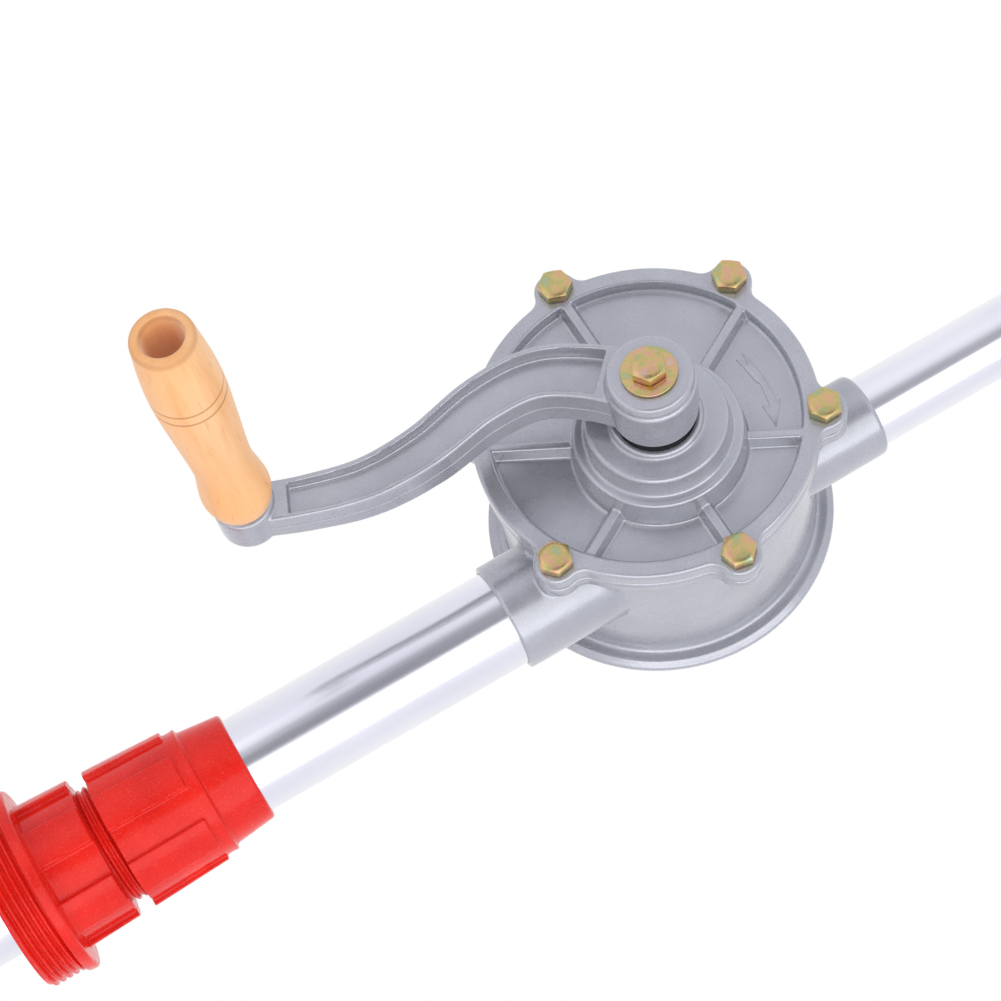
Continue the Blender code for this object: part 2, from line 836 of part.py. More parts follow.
def arm_outline(inset, start, end):
    """The arm's outline in the crank's frame, shrunk by inset, between two
    shares of its length; the grip end is at x = crank_radius."""
    path = [(0.0, 0.0), *crank_bends, (1.0, 0.0)]
    spine = [Vector((crank_radius * u, -crank_radius * v)) for u, v in smooth_through(path, 5)]
    reach = [0.0]
    for a, b in zip(spine, spine[1:]):
        reach.append(reach[-1] + (b - a).length)
    left, right = [], []
    for i, point in enumerate(spine):
        share = reach[i] / reach[-1]
        if not start <= share <= end:
            continue
        before, after = spine[max(i - 1, 0)], spine[min(i + 1, len(spine) - 1)]
        along = (after - before).normalized()
        across = Vector((-along.y, along.x))
        half = (arm_grip_width + (arm_hub_width - arm_grip_width) * (1 - share) ** 1.3) / 2 - inset
        left.append(tuple(point + across * half))
        right.append(tuple(point - across * half))
    return right + left[::-1]


crank = plate(
    "crank_arm",
    [arm_outline(0, 0, 1)],
    arm_middle - arm_hub_thickness / 2,
    arm_middle + arm_hub_thickness / 2,
    painted_casting,
    crank_frame,
)
for v in crank.data.vertices:  # thinner towards the grip
    share = v.co.x / crank_radius
    v.co.z = arm_middle + (v.co.z - arm_middle) * (1 + (arm_grip_thickness / arm_hub_thickness - 1) * share)
soften(crank, 0.0010, 1)
crank_hub = turned(
    "crank_hub",
    [(0, crank_top)]
    + arc(crank_hub_radius - 0.0014, crank_top - 0.0010, 0.0010, 90, 10, 3)
    + [(crank_hub_radius - 0.0004, crank_top - 0.0036), (crank_hub_radius - 0.0010, crank_top - 0.0042)]
    + [(crank_hub_radius, crank_top - 0.0052), (crank_hub_radius, crank_under + 0.0010)]
    + [(crank_hub_radius - 0.0010, crank_under), (0, crank_under)],
    parent=crank_frame,
    steps=middle_steps,
    cutter=True,
)
crank_boss = turned(
    "crank_boss",
    [(0, boss_top), (crank_boss_radius - 0.0008, boss_top), (crank_boss_radius, boss_top - 0.0010)]
    + [(crank_boss_radius, boss_under + 0.0012), (crank_boss_radius - 0.0012, boss_under), (0, boss_under)],
    parent=crank_frame,
    at=(crank_radius, 0, 0),
    steps=small_steps,
    cutter=True,
)
pocket_start = (crank_hub_radius + 0.0010) / crank_radius
pocket_end = 1 - (crank_boss_radius + 0.0020) / crank_radius
pocket_outline = arm_outline(arm_rim, pocket_start, pocket_end)
cut(
    crank,
    plate("arm_pocket_front", [pocket_outline], web_top, crank_top, parent=crank_frame, cutter=True),
    plate("arm_pocket_back", [pocket_outline], crank_under - 0.01, web_under, parent=crank_frame, cutter=True),
)
unite(crank, crank_hub, crank_boss)
crank_bore = bore(
    "crank_bore",
    [(0, crank_top + 0.01), (bolt_radius + bolt_hole_clearance, crank_top + 0.01)]
    + [(bolt_radius + bolt_hole_clearance, shaft_front + fit_gap), (shaft_bore, shaft_front + fit_gap)]
    + [(shaft_bore, crank_under - 0.01), (0, crank_under - 0.01)],
    parent=crank_frame,
    steps=small_steps,
)
pin_bore = bore(
    "pin_bore",
    (grip_pin_radius + fit_gap, boss_under + 0.0030, boss_top + 0.01),
    parent=crank_frame,
    at=(crank_radius, 0, 0),
    steps=hole_steps,
)
cut(crank, crank_bore, pin_bore)

tube(
    "crank_washer",
    bolt_radius + bolt_hole_clearance,
    washer_radius,
    crank_top + fit_gap,
    crank_top + fit_gap + washer_thickness,
    material=yellow_zinc,
    parent=crank_frame,
    steps=middle_steps,
)
hex_bolt(
    "crank_bolt",
    bolt_radius,
    bolt_head_across_flats,
    bolt_head_height + fit_gap,
    crank_bolt_length,
    crank_frame,
    (0, 0, crank_top + fit_gap + washer_thickness),
    yellow_zinc,
    math.radians(20),
)

# ---------------------------------------------------------------------- grip

grip_base = boss_top + fit_gap
grip_tip = grip_base + grip_length
pin_hole = grip_pin_radius + fit_gap
counterbore_floor = grip_tip - grip_counterbore_depth


def grip_profile():
    """Turned outside: bulb, neck, swell and rounded tip, top to bottom."""
    knots = [
        (0.0, grip_base_radius),
        (0.03, grip_base_radius + 0.6 * (grip_bulb_radius - grip_base_radius)),
        (0.085, grip_bulb_radius),
        (0.15, grip_bulb_radius - 0.35 * (grip_bulb_radius - grip_neck_radius)),
        (0.24, grip_neck_radius),
        (0.33, grip_neck_radius + 0.05 * (grip_swell_radius - grip_neck_radius)),
        (0.50, grip_neck_radius + 0.55 * (grip_swell_radius - grip_neck_radius)),
        (0.68, grip_swell_radius),
        (0.82, grip_swell_radius - 0.15 * (grip_swell_radius - grip_tip_radius)),
        (1.0, grip_tip_radius),
    ]
    outside = [(r, grip_base + grip_length * share) for share, r in smooth_through(knots, 2)]
    outside = [p for p in outside if p[1] < grip_tip - 0.0012]
    tip = arc(grip_tip_radius - 0.0010, grip_tip - 0.0012, 0.0012, 80, 0, 3)
    return tip + outside[::-1]


turned(
    "hand_grip",
    [(grip_counterbore_radius + 0.0007, grip_tip)]
    + grip_profile()
    + [(pin_hole, grip_base), (pin_hole, counterbore_floor)]
    + [(grip_counterbore_radius, counterbore_floor), (grip_counterbore_radius, grip_tip - 0.0007)],
    beech,
    grip_frame,
    steps=middle_steps,
    closed=True,
)
head_radius = grip_counterbore_radius - 2 * fit_gap
washer_base = counterbore_floor + grip_end_play
tube(
    "grip_washer",
    pin_hole,
    head_radius,
    washer_base,
    washer_base + grip_washer_thickness,
    material=steel,
    parent=grip_frame,
    steps=small_steps,
)
pin_head = washer_base + grip_washer_thickness + fit_gap
turned(
    "grip_pin",
    [(0, pin_head + grip_pin_head_height), (head_radius - 0.0012, pin_head + grip_pin_head_height)]
    + [(head_radius, pin_head + grip_pin_head_height - 0.0012), (head_radius, pin_head)]
    + [(grip_pin_radius, pin_head), (grip_pin_radius, boss_under + 0.0033), (0, boss_under + 0.0033)],
    steel,
    grip_frame,
    steps=small_steps,
)

# --------------------------------------------------------------------- pipes

pipe_top = suction_socket_end + socket_depth - fit_gap
pipe_inner = suction_pipe_radius - suction_pipe_wall
names = ("suction_pipe_upper", "suction_pipe_middle", "suction_pipe_lower")
for n in range(pipe_section_count):
    top = pipe_top - n * pipe_section_length
    bottom = top - pipe_section_length + 2 * fit_gap
    tube(
        names[n],
        pipe_inner,
        suction_pipe_radius,
        bottom,
        top,
        material=bright_aluminium,
        steps=middle_steps,
    )
    if n:
        tube(
            f"pipe_coupling_{n}",
            pipe_bore,
            pipe_bore + coupling_wall,
            top + fit_gap - coupling_length / 2,
            top + fit_gap + coupling_length / 2,
            material=bright_aluminium,
            steps=middle_steps,
        )

# the discharge pipe rises from its socket and bends over towards +X
spout = bpy.data.curves.new("discharge_pipe", "CURVE")
spout.dimensions = "3D"
spout.bevel_depth = discharge_pipe_radius
spout.bevel_resolution = 8
path = [Vector((0, 0, discharge_socket_end - socket_depth + fit_gap))]
bend_start = discharge_socket_end + spout_straight
for i in range(10):
    t = spout_bend_angle * i / 9
    rise = spout_bend_radius * math.sin(t)
    path.append(Vector((spout_bend_radius * (1 - math.cos(t)), 0, bend_start + rise)))
leave = Vector((math.sin(spout_bend_angle), 0, math.cos(spout_bend_angle)))
path.append(path[-1] + leave * spout_tip_length)
line = spout.splines.new("POLY")
line.points.add(len(path) - 1)
for point, place in zip(line.points, path):
    point.co = (*place, 1)
shape = bpy.data.objects.new("spout_path", spout)
bpy.context.scene.collection.objects.link(shape)
spout_mesh = to_mesh(shape)
discharge_pipe = add("discharge_pipe", spout_mesh, bright_aluminium, at=(discharge_shift, 0, 0))
shell = discharge_pipe.modifiers.new("wall", "SOLIDIFY")
shell.thickness = discharge_pipe_wall
shell.offset = -1

# -------------------------------------------------------------- bung adapter


def thread_profile(crest, depth, pitch, turns, top):
    """The outside of a thread as rounded ridges, running down from top."""
    points = []
    for i in range(turns):
        z = top - pitch * i
        points += [(crest - depth, z), (crest, z - 0.40 * pitch), (crest, z - 0.60 * pitch)]
    return points + [(crest - depth, top - pitch * turns)]


def lug_ring(name, base, top_radius, foot_radius, low, high, parent_piece):
    """Raised lands around a body, as a ring cut into equal lugs."""
    half = lug_angle / 2
    for n in range(lug_count):
        middle = math.radians(90) + 2 * math.pi * n / lug_count
        block = bmesh.new()
        bmesh.ops.create_cube(block, size=1.0)
        for v in block.verts:
            outer = foot_radius if v.co.z < 0 else top_radius
            flat = outer * math.cos(half)
            v.co.y = math.copysign(outer * math.sin(half), v.co.y)
            v.co.x = base if v.co.x < 0 else flat
            v.co.z = low if v.co.z < 0 else high
        outer_edges = [e for e in block.edges if all(v.co.x > base for v in e.verts)]
        upright = [e for e in outer_edges if abs(e.verts[0].co.z - e.verts[1].co.z) > 0.001]
        across = [e for e in outer_edges if e not in upright]
        bmesh.ops.subdivide_edges(block, edges=across, cuts=2, use_grid_fill=True)
        for v in block.verts:
            if v.co.x > base + 0.0001:
                outer = foot_radius + (top_radius - foot_radius) * (v.co.z - low) / (high - low)
                v.co.x = math.sqrt(outer**2 - v.co.y**2)
        mesh = bpy.data.meshes.new(f"{name}_{n + 1}")
        block.to_mesh(mesh)
        block.free()
        lug = add(f"{name}_{n + 1}", mesh, spin=middle, cutter=True)
        unite(parent_piece, lug)


ridges_top = body_height + neck_thread_pitch * neck_thread_ridges
skirt_inner = bung_thread_radius - bung_thread_depth - bung_skirt_wall
neck_ridges = thread_profile(
    neck_thread_radius,
    neck_thread_depth,
    neck_thread_pitch,
    neck_thread_ridges,
    ridges_top,
)
adapter = turned(
    "bung_adapter",
    [(pipe_bore, neck_top), (neck_thread_radius - neck_thread_depth - 0.0006, neck_top)]
    + [(neck_thread_radius, neck_top - 0.0006), (neck_thread_radius, ridges_top + 0.0006)]
    + neck_ridges[:-1]
    + [(neck_thread_radius - neck_thread_depth, body_height)]
    + [(body_radius - 0.0006, body_height), (body_radius, body_height - 0.0006)]
    + [(body_radius + 0.0004, flange_thickness)]
    + arc(flange_radius - 0.0012, flange_thickness - 0.0012, 0.0012, 90, 0, 3)
    + [(flange_radius, 0), (bung_thread_radius + 0.0003, 0)]
    + thread_profile(bung_thread_radius, bung_thread_depth, bung_thread_pitch, bung_thread_turns, -0.0001)
    + [(bung_thread_radius - bung_thread_depth - 0.0008, -bung_thread_length)]
    + [(skirt_inner, -bung_thread_length), (skirt_inner, -0.0005)]
    + [(pipe_bore + 0.0030, -0.0005), (pipe_bore + 0.0030, -bung_thread_length + 0.0040)]
    + [(pipe_bore, -bung_thread_length + 0.0040)],
    red_plastic,
    closed=True,
)
lug_ring(
    "body_lug",
    body_radius - 0.0015,
    body_radius + body_lug_rise - 0.0005,
    body_radius + body_lug_rise + 0.0004,
    flange_thickness - 0.0005,
    body_height - 0.0003,
    adapter,
)

# ------------------------------------------------ clamp nut, seal and washer

nut_top_of_skirt = nut_start + nut_skirt_height
nut_collar_top = nut_top_of_skirt + nut_collar_height
nut_top = nut_collar_top + nut_neck_height
nut = turned(
    "clamp_nut",
    [(pipe_bore, nut_top)]
    + arc(nut_neck_radius - nut_neck_taper - 0.0010, nut_top - 0.0010, 0.0010, 90, 5, 3)
    + [(nut_neck_radius, nut_collar_top), (nut_skirt_radius - 0.0004, nut_collar_top)]
    + [(nut_skirt_radius, nut_collar_top - 0.0006), (nut_skirt_radius, nut_top_of_skirt)]
    + [(nut_skirt_radius + nut_skirt_flare, nut_start)]
    + [(nut_bore, nut_start), (nut_bore, nut_shoulder), (pipe_bore, nut_shoulder)],
    red_plastic,
    closed=True,
)
lug_ring(
    "nut_lug",
    nut_skirt_radius - 0.0010,
    nut_skirt_radius + nut_lug_rise - 0.0003,
    nut_skirt_radius + nut_skirt_flare + nut_lug_rise,
    nut_start,
    nut_top_of_skirt - 0.0026,
    nut,
)
tube(
    "pipe_seal",
    pipe_bore,
    neck_thread_radius - 0.0003,
    neck_top + fit_gap,
    seal_top,
    material=rubber,
    steps=small_steps,
)
tube(
    "slip_washer",
    pipe_bore,
    neck_thread_radius - 0.0001,
    seal_top + fit_gap,
    slip_washer_top,
    material=nylon,
    steps=small_steps,
)

for piece in pump.objects:
    if piece.type == "MESH":
        shade(piece)
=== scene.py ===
"""Looks for a rotary hand pump for drums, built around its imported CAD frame.

Metres, in the frame's own coordinates: the origin is the bung adapter's seat,
+Z runs up the pipes and the pump's cover faces -Y. The pump head is built in
local frames whose z is the height above the cover's front face.
"""

import json
import math

import bmesh
import bpy
from mathutils import Matrix, Vector


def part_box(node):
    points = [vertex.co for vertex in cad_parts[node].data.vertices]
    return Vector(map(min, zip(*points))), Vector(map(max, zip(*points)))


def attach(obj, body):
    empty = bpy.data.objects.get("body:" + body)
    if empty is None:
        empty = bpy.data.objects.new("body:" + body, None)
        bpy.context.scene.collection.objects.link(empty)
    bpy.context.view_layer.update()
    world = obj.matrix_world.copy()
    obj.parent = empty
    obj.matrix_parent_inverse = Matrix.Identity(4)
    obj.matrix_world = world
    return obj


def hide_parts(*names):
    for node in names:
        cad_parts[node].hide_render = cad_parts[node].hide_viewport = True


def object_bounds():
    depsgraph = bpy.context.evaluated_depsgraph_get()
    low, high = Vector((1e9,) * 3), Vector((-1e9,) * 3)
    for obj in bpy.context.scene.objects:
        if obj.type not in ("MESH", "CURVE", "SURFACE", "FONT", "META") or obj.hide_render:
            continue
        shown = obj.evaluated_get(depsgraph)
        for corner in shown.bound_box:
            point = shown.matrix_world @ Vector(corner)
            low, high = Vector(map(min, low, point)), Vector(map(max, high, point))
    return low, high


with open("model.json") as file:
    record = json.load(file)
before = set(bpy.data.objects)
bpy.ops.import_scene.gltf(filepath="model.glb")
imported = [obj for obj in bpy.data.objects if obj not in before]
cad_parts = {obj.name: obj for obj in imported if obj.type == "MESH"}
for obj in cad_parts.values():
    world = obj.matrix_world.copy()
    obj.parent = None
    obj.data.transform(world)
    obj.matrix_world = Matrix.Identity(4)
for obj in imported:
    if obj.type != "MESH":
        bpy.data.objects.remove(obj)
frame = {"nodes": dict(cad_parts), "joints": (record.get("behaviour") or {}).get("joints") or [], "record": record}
cad_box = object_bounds()

# ------------------------------------------------------------ places, from the frame

joints = {joint["name"]: joint for joint in frame["joints"]}
shaft_x, cover_y, chamber_z = joints["crank_spin"]["pos_m"]
grip_x, _, grip_z = joints["grip_spin"]["pos_m"]
crank_radius = math.hypot(grip_x - shaft_x, grip_z - chamber_z)
crank_turn = math.atan2(grip_z - chamber_z, grip_x - shaft_x)
chamber_x = (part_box("front_cover")[0].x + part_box("front_cover")[1].x) / 2
rotor_offset = shaft_x - chamber_x
discharge_x = 0.0009
grip_tip = cover_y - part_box("hand_grip")[0].y
grip_lines = (0.0262, 0.0306)


def head_frame(x, z, turn=0.0):
    """A frame whose local z points out of the cover, with x and y along +X and +Z."""
    turned = Matrix.Rotation(math.pi / 2, 4, "X") @ Matrix.Rotation(turn, 4, "Z")
    return Matrix.Translation((x, cover_y, z)) @ turned


chamber = head_frame(chamber_x, chamber_z)
shaft = head_frame(shaft_x, chamber_z)
crank = head_frame(shaft_x, chamber_z, crank_turn)
grip = head_frame(grip_x, grip_z, crank_turn)
upright = Matrix()

# -------------------------------------------------------------- dimensions

round_steps = 144
coarse = 1.0

rim_radius = 0.0554
rim_thickness = 0.0055
recess_radius = 0.0495
recess_depth = 0.0046
bolt_circle = 0.0562
ear_radius = 0.0072
ear_fillet = 0.0050
housing_radius = 0.0524
housing_back = -0.0685
suction_socket_end = 0.1656
discharge_socket_end = 0.3007
crank_under = 0.0196
arm_middle = 0.0281
arm_hub_thickness = 0.0170
arm_grip_thickness = 0.0106
boss_top = 0.0364
crank_top = 0.0421
# the arm's line: share of the way to the grip, and how far it swings aside
crank_bends = ((0.13, 0.080), (0.26, 0.118), (0.40, 0.089), (0.55, 0.018), (0.70, -0.022), (0.85, -0.020))
arm_hub_width = 0.0200
arm_grip_width = 0.0134
arm_rim = 0.0018  # left round the arm's pockets
arm_web = 0.0040  # left between them

chamber_radius = 0.0480
chamber_back = -0.0635
housing_front = -0.0064
flange_front = -0.0639
plate_under = -0.0081
shaft_bore = 0.0063
bearing_bore = 0.0093
hub_base_radius = 0.0277
hub_draft = 0.0008
rib_width = 0.0056
washer_under = crank_top + 0.0003
washer_top = crank_top + 0.0016

grip_counterbore_radius = 0.0064
grip_counterbore_depth = 0.040
grip_pin_bore = 0.0033
grip_shape = (  # share of the length from the crank, radius
    (0.0, 0.0082),
    (0.03, 0.0098),
    (0.085, 0.0108),
    (0.15, 0.01024),
    (0.24, 0.0092),
    (0.33, 0.0093),
    (0.50, 0.01025),
    (0.68, 0.0111),
    (0.82, 0.0108),
    (1.0, 0.0092),
)

suction_pipe_radius = 0.0160
suction_pipe_inner = 0.0145
coupling_radius = 0.0185
pipe_bore = 0.0163
discharge_pipe_radius = 0.01205
discharge_bore = 0.01235
discharge_pipe_wall = 0.0013
discharge_port = 0.01075
socket_depth = 0.022
port_end = 0.03  # how far from the chamber's axis the ports stop
spout_straight = 0.115
spout_bend = 0.062
spout_bend_angle = math.radians(140)
spout_tip_length = 0.045

lug_count = 6
lug_angle = math.radians(31)
body_height = 0.0223
neck_radius = 0.0196
neck_inner = 0.0170
nut_start = 0.0274
nut_skirt_top = 0.0566
nut_collar_top = 0.0584
nut_top = 0.0728
nut_bore = 0.0199
nut_shoulder = 0.0500
bore_steps = 96


# -------------------------------------------------------------- mesh helpers


def place(bm, name, matrix=upright):
    """The bmesh as an object whose vertices are in the frame's coordinates."""
    bm.transform(matrix)
    mesh = bpy.data.meshes.new(name)
    bm.to_mesh(mesh)
    bm.free()
    thing = bpy.data.objects.new(name, mesh)
    bpy.context.scene.collection.objects.link(thing)
    return thing


def turned(name, profile, matrix=upright, steps=round_steps, ring=False):
    """A solid of revolution about local z from (radius, height) points."""
    bm = bmesh.new()
    points = [bm.verts.new((r, 0, z)) for r, z in profile]
    edges = [bm.edges.new(pair) for pair in zip(points, points[1:])]
    if ring:
        edges.append(bm.edges.new((points[-1], points[0])))
    bmesh.ops.spin(
        bm,
        geom=points + edges,
        cent=(0, 0, 0),
        axis=(0, 0, 1),
        angle=2 * math.pi,
        steps=steps,
        use_merge=True,
    )
    bmesh.ops.remove_doubles(bm, verts=bm.verts, dist=1e-6)
    bmesh.ops.recalc_face_normals(bm, faces=bm.faces)
    return place(bm, name, matrix)


def rod(name, radius, low, high, matrix=upright, steps=round_steps):
    return turned(name, [(0, high), (radius, high), (radius, low), (0, low)], matrix, steps)


def plate(name, outline, low, high, matrix=upright, rounding=0.0, segments=3):
    """A flat plate between two heights, with rounded edges round its faces."""
    bm = bmesh.new()
    face = bm.faces.new([bm.verts.new((x, y, low)) for x, y in outline])
    raised = bmesh.ops.extrude_face_region(bm, geom=[face])["geom"]
    lifted = [v for v in raised if isinstance(v, bmesh.types.BMVert)]
    bmesh.ops.translate(bm, verts=lifted, vec=(0, 0, high - low))
    bmesh.ops.recalc_face_normals(bm, faces=bm.faces)
    if rounding:
        flat = [e for e in bm.edges if abs(e.verts[0].co.z - e.verts[1].co.z) < 1e-6]
        bmesh.ops.bevel(bm, geom=flat, offset=rounding, segments=segments, profile=0.5, affect="EDGES")
    return place(bm, name, matrix)


def block(name, size, matrix, taper=1.0, rounding=0.0):
    """A box standing on local z = 0; taper narrows its top across y."""
    bm = bmesh.new()
    bmesh.ops.create_cube(bm, size=1.0)
    for v in bm.verts:
        top = v.co.z > 0
        v.co.x *= size[0]
        v.co.y *= size[1] * (taper if top else 1.0)
        v.co.z = size[2] if top else 0.0
    if rounding:
        bmesh.ops.bevel(bm, geom=bm.edges[:], offset=rounding, segments=3, profile=0.5, affect="EDGES")
    return place(bm, name, matrix)


def arc(cx, cz, radius, start, end, steps=6):
    """Points of an arc, angles in degrees from +x towards +y."""
    turns = [math.radians(start + (end - start) * i / steps) for i in range(steps + 1)]
    return [(cx + radius * math.cos(t), cz + radius * math.sin(t)) for t in turns]


def circle(radius, count, cx=0.0, cy=0.0, phase=0.0):
    turns = [phase + 2 * math.pi * i / count for i in range(count)]
    return [(cx + radius * math.cos(t), cy + radius * math.sin(t)) for t in turns]


def settle(thing):
    """Applies the object's modifiers to its mesh."""
    bpy.context.view_layer.update()
    graph = bpy.context.evaluated_depsgraph_get()
    mesh = bpy.data.meshes.new_from_object(thing.evaluated_get(graph))
    thing.modifiers.clear()
    thing.data = mesh
    return thing


def carve(thing, *cutters):
    """Cuts the cutters out of the object, and removes them."""
    for cutter in cutters:
        step = thing.modifiers.new("cut", "BOOLEAN")
        step.operation = "DIFFERENCE"
        step.solver = "MANIFOLD"
        step.object = cutter
    settle(thing)
    for cutter in cutters:
        bpy.data.objects.remove(cutter)
    return thing


def gather(name, *parts):
    """All the parts as one mesh, still overlapping."""
    bm = bmesh.new()
    for part in parts:
        bm.from_mesh(part.data)
        bpy.data.objects.remove(part)
    return place(bm, name)


def cast(thing, voxel, fillets=4, keep=0.4):
    """Fuses overlapping parts into one skin with small fillets, as a casting has."""
    skin = thing.modifiers.new("skin", "REMESH")
    skin.mode = "VOXEL"
    skin.voxel_size = voxel * coarse
    melt = thing.modifiers.new("fillets", "SMOOTH")
    melt.factor = 0.5
    melt.iterations = max(1, round(fillets / coarse))
    thin = thing.modifiers.new("thin", "DECIMATE")
    thin.ratio = keep
    return settle(thing)


def smooth(thing, sharp=35):
    thing.data.shade_smooth()
    thing.data.set_sharp_from_angle(angle=math.radians(sharp))
    return thing


# ----------------------------------------------------------------- materials


class Surface:
    """A Principled material with a few node helpers."""

    def __init__(self, name, colour, roughness, metallic=0.0):
        self.material = bpy.data.materials.new(name)
        self.material.use_nodes = True
        self.tree = self.material.node_tree
        self.shader = self.tree.nodes["Principled BSDF"]
        self.set("Base Color", (*colour, 1))
        self.set("Roughness", roughness)
        self.set("Metallic", metallic)

    def set(self, socket, value):
        self.shader.inputs[socket].default_value = value

    def feed(self, socket, output):
        self.tree.links.new(output, self.shader.inputs[socket])

    def node(self, kind, inputs=(), **settings):
        made = self.tree.nodes.new(kind)
        for key, value in settings.items():
            setattr(made, key, value)
        for key, value in dict(inputs).items():
            if isinstance(value, bpy.types.NodeSocket):
                self.tree.links.new(value, made.inputs[key])
            else:
                made.inputs[key].default_value = value
        return made

    def place(self, stretch=(1, 1, 1)):
        """Object coordinates in metres, scaled along each axis."""
        where = self.node("ShaderNodeTexCoord").outputs["Object"]
        return self.node("ShaderNodeMapping", {"Vector": where, "Scale": stretch}).outputs["Vector"]

    def noise(self, scale, detail=3.0, rough=0.5, stretch=(1, 1, 1)):
        inputs = {"Vector": self.place(stretch), "Scale": scale, "Detail": detail, "Roughness": rough}
        return self.node("ShaderNodeTexNoise", inputs).outputs["Fac"]

    def ramp(self, value, *stops):
        """A colour ramp from (position, (r, g, b)) stops."""
        made = self.node("ShaderNodeValToRGB", {"Fac": value})
        band = made.color_ramp
        while len(band.elements) < len(stops):
            band.elements.new(0.5)
        for element, (position, colour) in zip(band.elements, stops):
            element.position = position
            element.color = (*colour, 1)
        return made.outputs["Color"]

    def remap(self, value, low, high, to_low, to_high):
        inputs = {"Value": value, "From Min": low, "From Max": high, "To Min": to_low, "To Max": to_high}
        return self.node("ShaderNodeMapRange", inputs).outputs["Result"]

    def mix(self, factor, a, b, blend="MIX"):
        made = self.node("ShaderNodeMix", data_type="RGBA", blend_type=blend)
        for socket, value in ((0, factor), (6, a), (7, b)):
            if isinstance(value, bpy.types.NodeSocket):
                self.tree.links.new(value, made.inputs[socket])
            else:
                made.inputs[socket].default_value = (*value, 1) if isinstance(value, tuple) else value
        return made.outputs[2]

    def bump(self, height, strength, distance, over=None):
        inputs = {"Height": height, "Strength": strength, "Distance": distance}
        if over is not None:
            inputs["Normal"] = over
        made = self.node("ShaderNodeBump", inputs).outputs["Normal"]
        self.feed("Normal", made)
        return made


def painted_casting():
    """Glossy silver-grey paint with fine metal flake over a die casting."""
    s = Surface("painted_casting", (0.46, 0.47, 0.51), 0.28, 0.6)
    s.set("Coat Weight", 0.35)
    s.set("Coat Roughness", 0.10)
    cloud = s.noise(38, 4, 0.55)
    flake = s.noise(4200, 2, 0.6)
    tone = s.ramp(cloud, (0.30, (0.43, 0.44, 0.475)), (0.72, (0.50, 0.51, 0.55)))
    sparkle = s.ramp(flake, (0.38, (0.86, 0.86, 0.86)), (0.66, (1.10, 1.10, 1.10)))
    s.feed("Base Color", s.mix(1.0, tone, sparkle, "MULTIPLY"))
    s.feed("Roughness", s.remap(s.noise(110, 3), 0.3, 0.7, 0.22, 0.34))
    skin = s.bump(s.noise(1500, 3, 0.6), 0.16, 0.0001)
    s.bump(s.noise(230, 2), 0.12, 0.0003, skin)
    return s.material


def bright_aluminium():
    """Drawn tube: bright, with faint lengthwise draw lines and handling marks."""
    s = Surface("bright_aluminium", (0.86, 0.86, 0.90), 0.17, 1.0)
    lines = s.noise(900, 3, 0.6, (1, 1, 0.012))
    haze = s.noise(30, 3, 0.5, (1, 1, 0.35))
    tone = s.ramp(haze, (0.3, (0.80, 0.80, 0.85)), (0.7, (0.90, 0.90, 0.93)))
    s.feed("Base Color", tone)
    s.feed("Roughness", s.remap(lines, 0.3, 0.7, 0.16, 0.24))
    s.bump(lines, 0.08, 0.0001)
    return s.material


def red_plastic():
    """Glossy moulded plastic, with the fine pale and dark specks of regrind."""
    s = Surface("red_plastic", (0.70, 0.012, 0.007), 0.2)
    s.set("Specular IOR Level", 0.28)
    specks = s.noise(2600, 2, 0.65)
    tone = s.ramp(s.noise(60, 3), (0.3, (0.67, 0.010, 0.005)), (0.7, (0.81, 0.018, 0.009)))
    pale = s.ramp(specks, (0.60, (0, 0, 0)), (0.72, (0.5, 0.5, 0.5)))
    dark = s.ramp(specks, (0.28, (0.4, 0.4, 0.4)), (0.38, (0, 0, 0)))
    speckled = s.mix(pale, tone, (0.95, 0.20, 0.14))
    s.feed("Base Color", s.mix(dark, speckled, (0.42, 0.004, 0.003)))
    s.feed("Roughness", s.remap(s.noise(400, 3), 0.3, 0.7, 0.12, 0.30))
    skin = s.bump(s.noise(900, 3, 0.6), 0.20, 0.00015)
    s.bump(s.noise(120, 2), 0.16, 0.0005, skin)
    return s.material


def beech():
    """Lacquered beech: straight pale grain, short dark pores, browner ends."""
    s = Surface("beech", (0.88, 0.52, 0.25), 0.42)
    s.set("Coat Weight", 0.15)
    s.set("Coat Roughness", 0.3)
    rings = s.noise(220, 4, 0.6, (1, 0.06, 1))
    broad = s.noise(34, 3, 0.5, (1, 0.35, 1))
    pores = s.noise(1500, 2, 0.5, (1, 0.05, 1))
    grain = s.ramp(
        rings,
        (0.30, (0.80, 0.40, 0.155)),
        (0.50, (0.90, 0.54, 0.265)),
        (0.72, (0.93, 0.60, 0.33)),
    )
    warm = s.mix(s.remap(broad, 0.35, 0.7, 0.0, 0.70), grain, (0.90, 0.44, 0.15))
    pore = s.mix(s.remap(pores, 0.62, 0.72, 0.0, 0.35), warm, (0.55, 0.26, 0.10))
    # darker at the turned tip and in the two burnt lines below it
    where = s.node("ShaderNodeSeparateXYZ", {"Vector": s.place()}).outputs["Y"]
    below = s.remap(where, cover_y - grip_tip, cover_y - grip_tip + 0.05, 0.0, 1.0)
    clean, edge, shoulder, burnt = ((tone, tone, tone) for tone in (0, 0.12, 0.50, 0.75))
    lines = [(0.0, edge), (0.014, shoulder), (0.036, (0.42, 0.42, 0.42)), (0.060, clean)]
    for line in grip_lines:
        middle = line / 0.05
        lines += [(middle - 0.012, clean), (middle - 0.005, burnt)]
        lines += [(middle + 0.005, burnt), (middle + 0.012, clean)]
    s.feed("Base Color", s.mix(s.ramp(below, *lines), pore, (0.46, 0.20, 0.07)))
    s.feed("Roughness", s.remap(rings, 0.3, 0.7, 0.38, 0.52))
    s.bump(pores, 0.10, 0.0001)
    return s.material


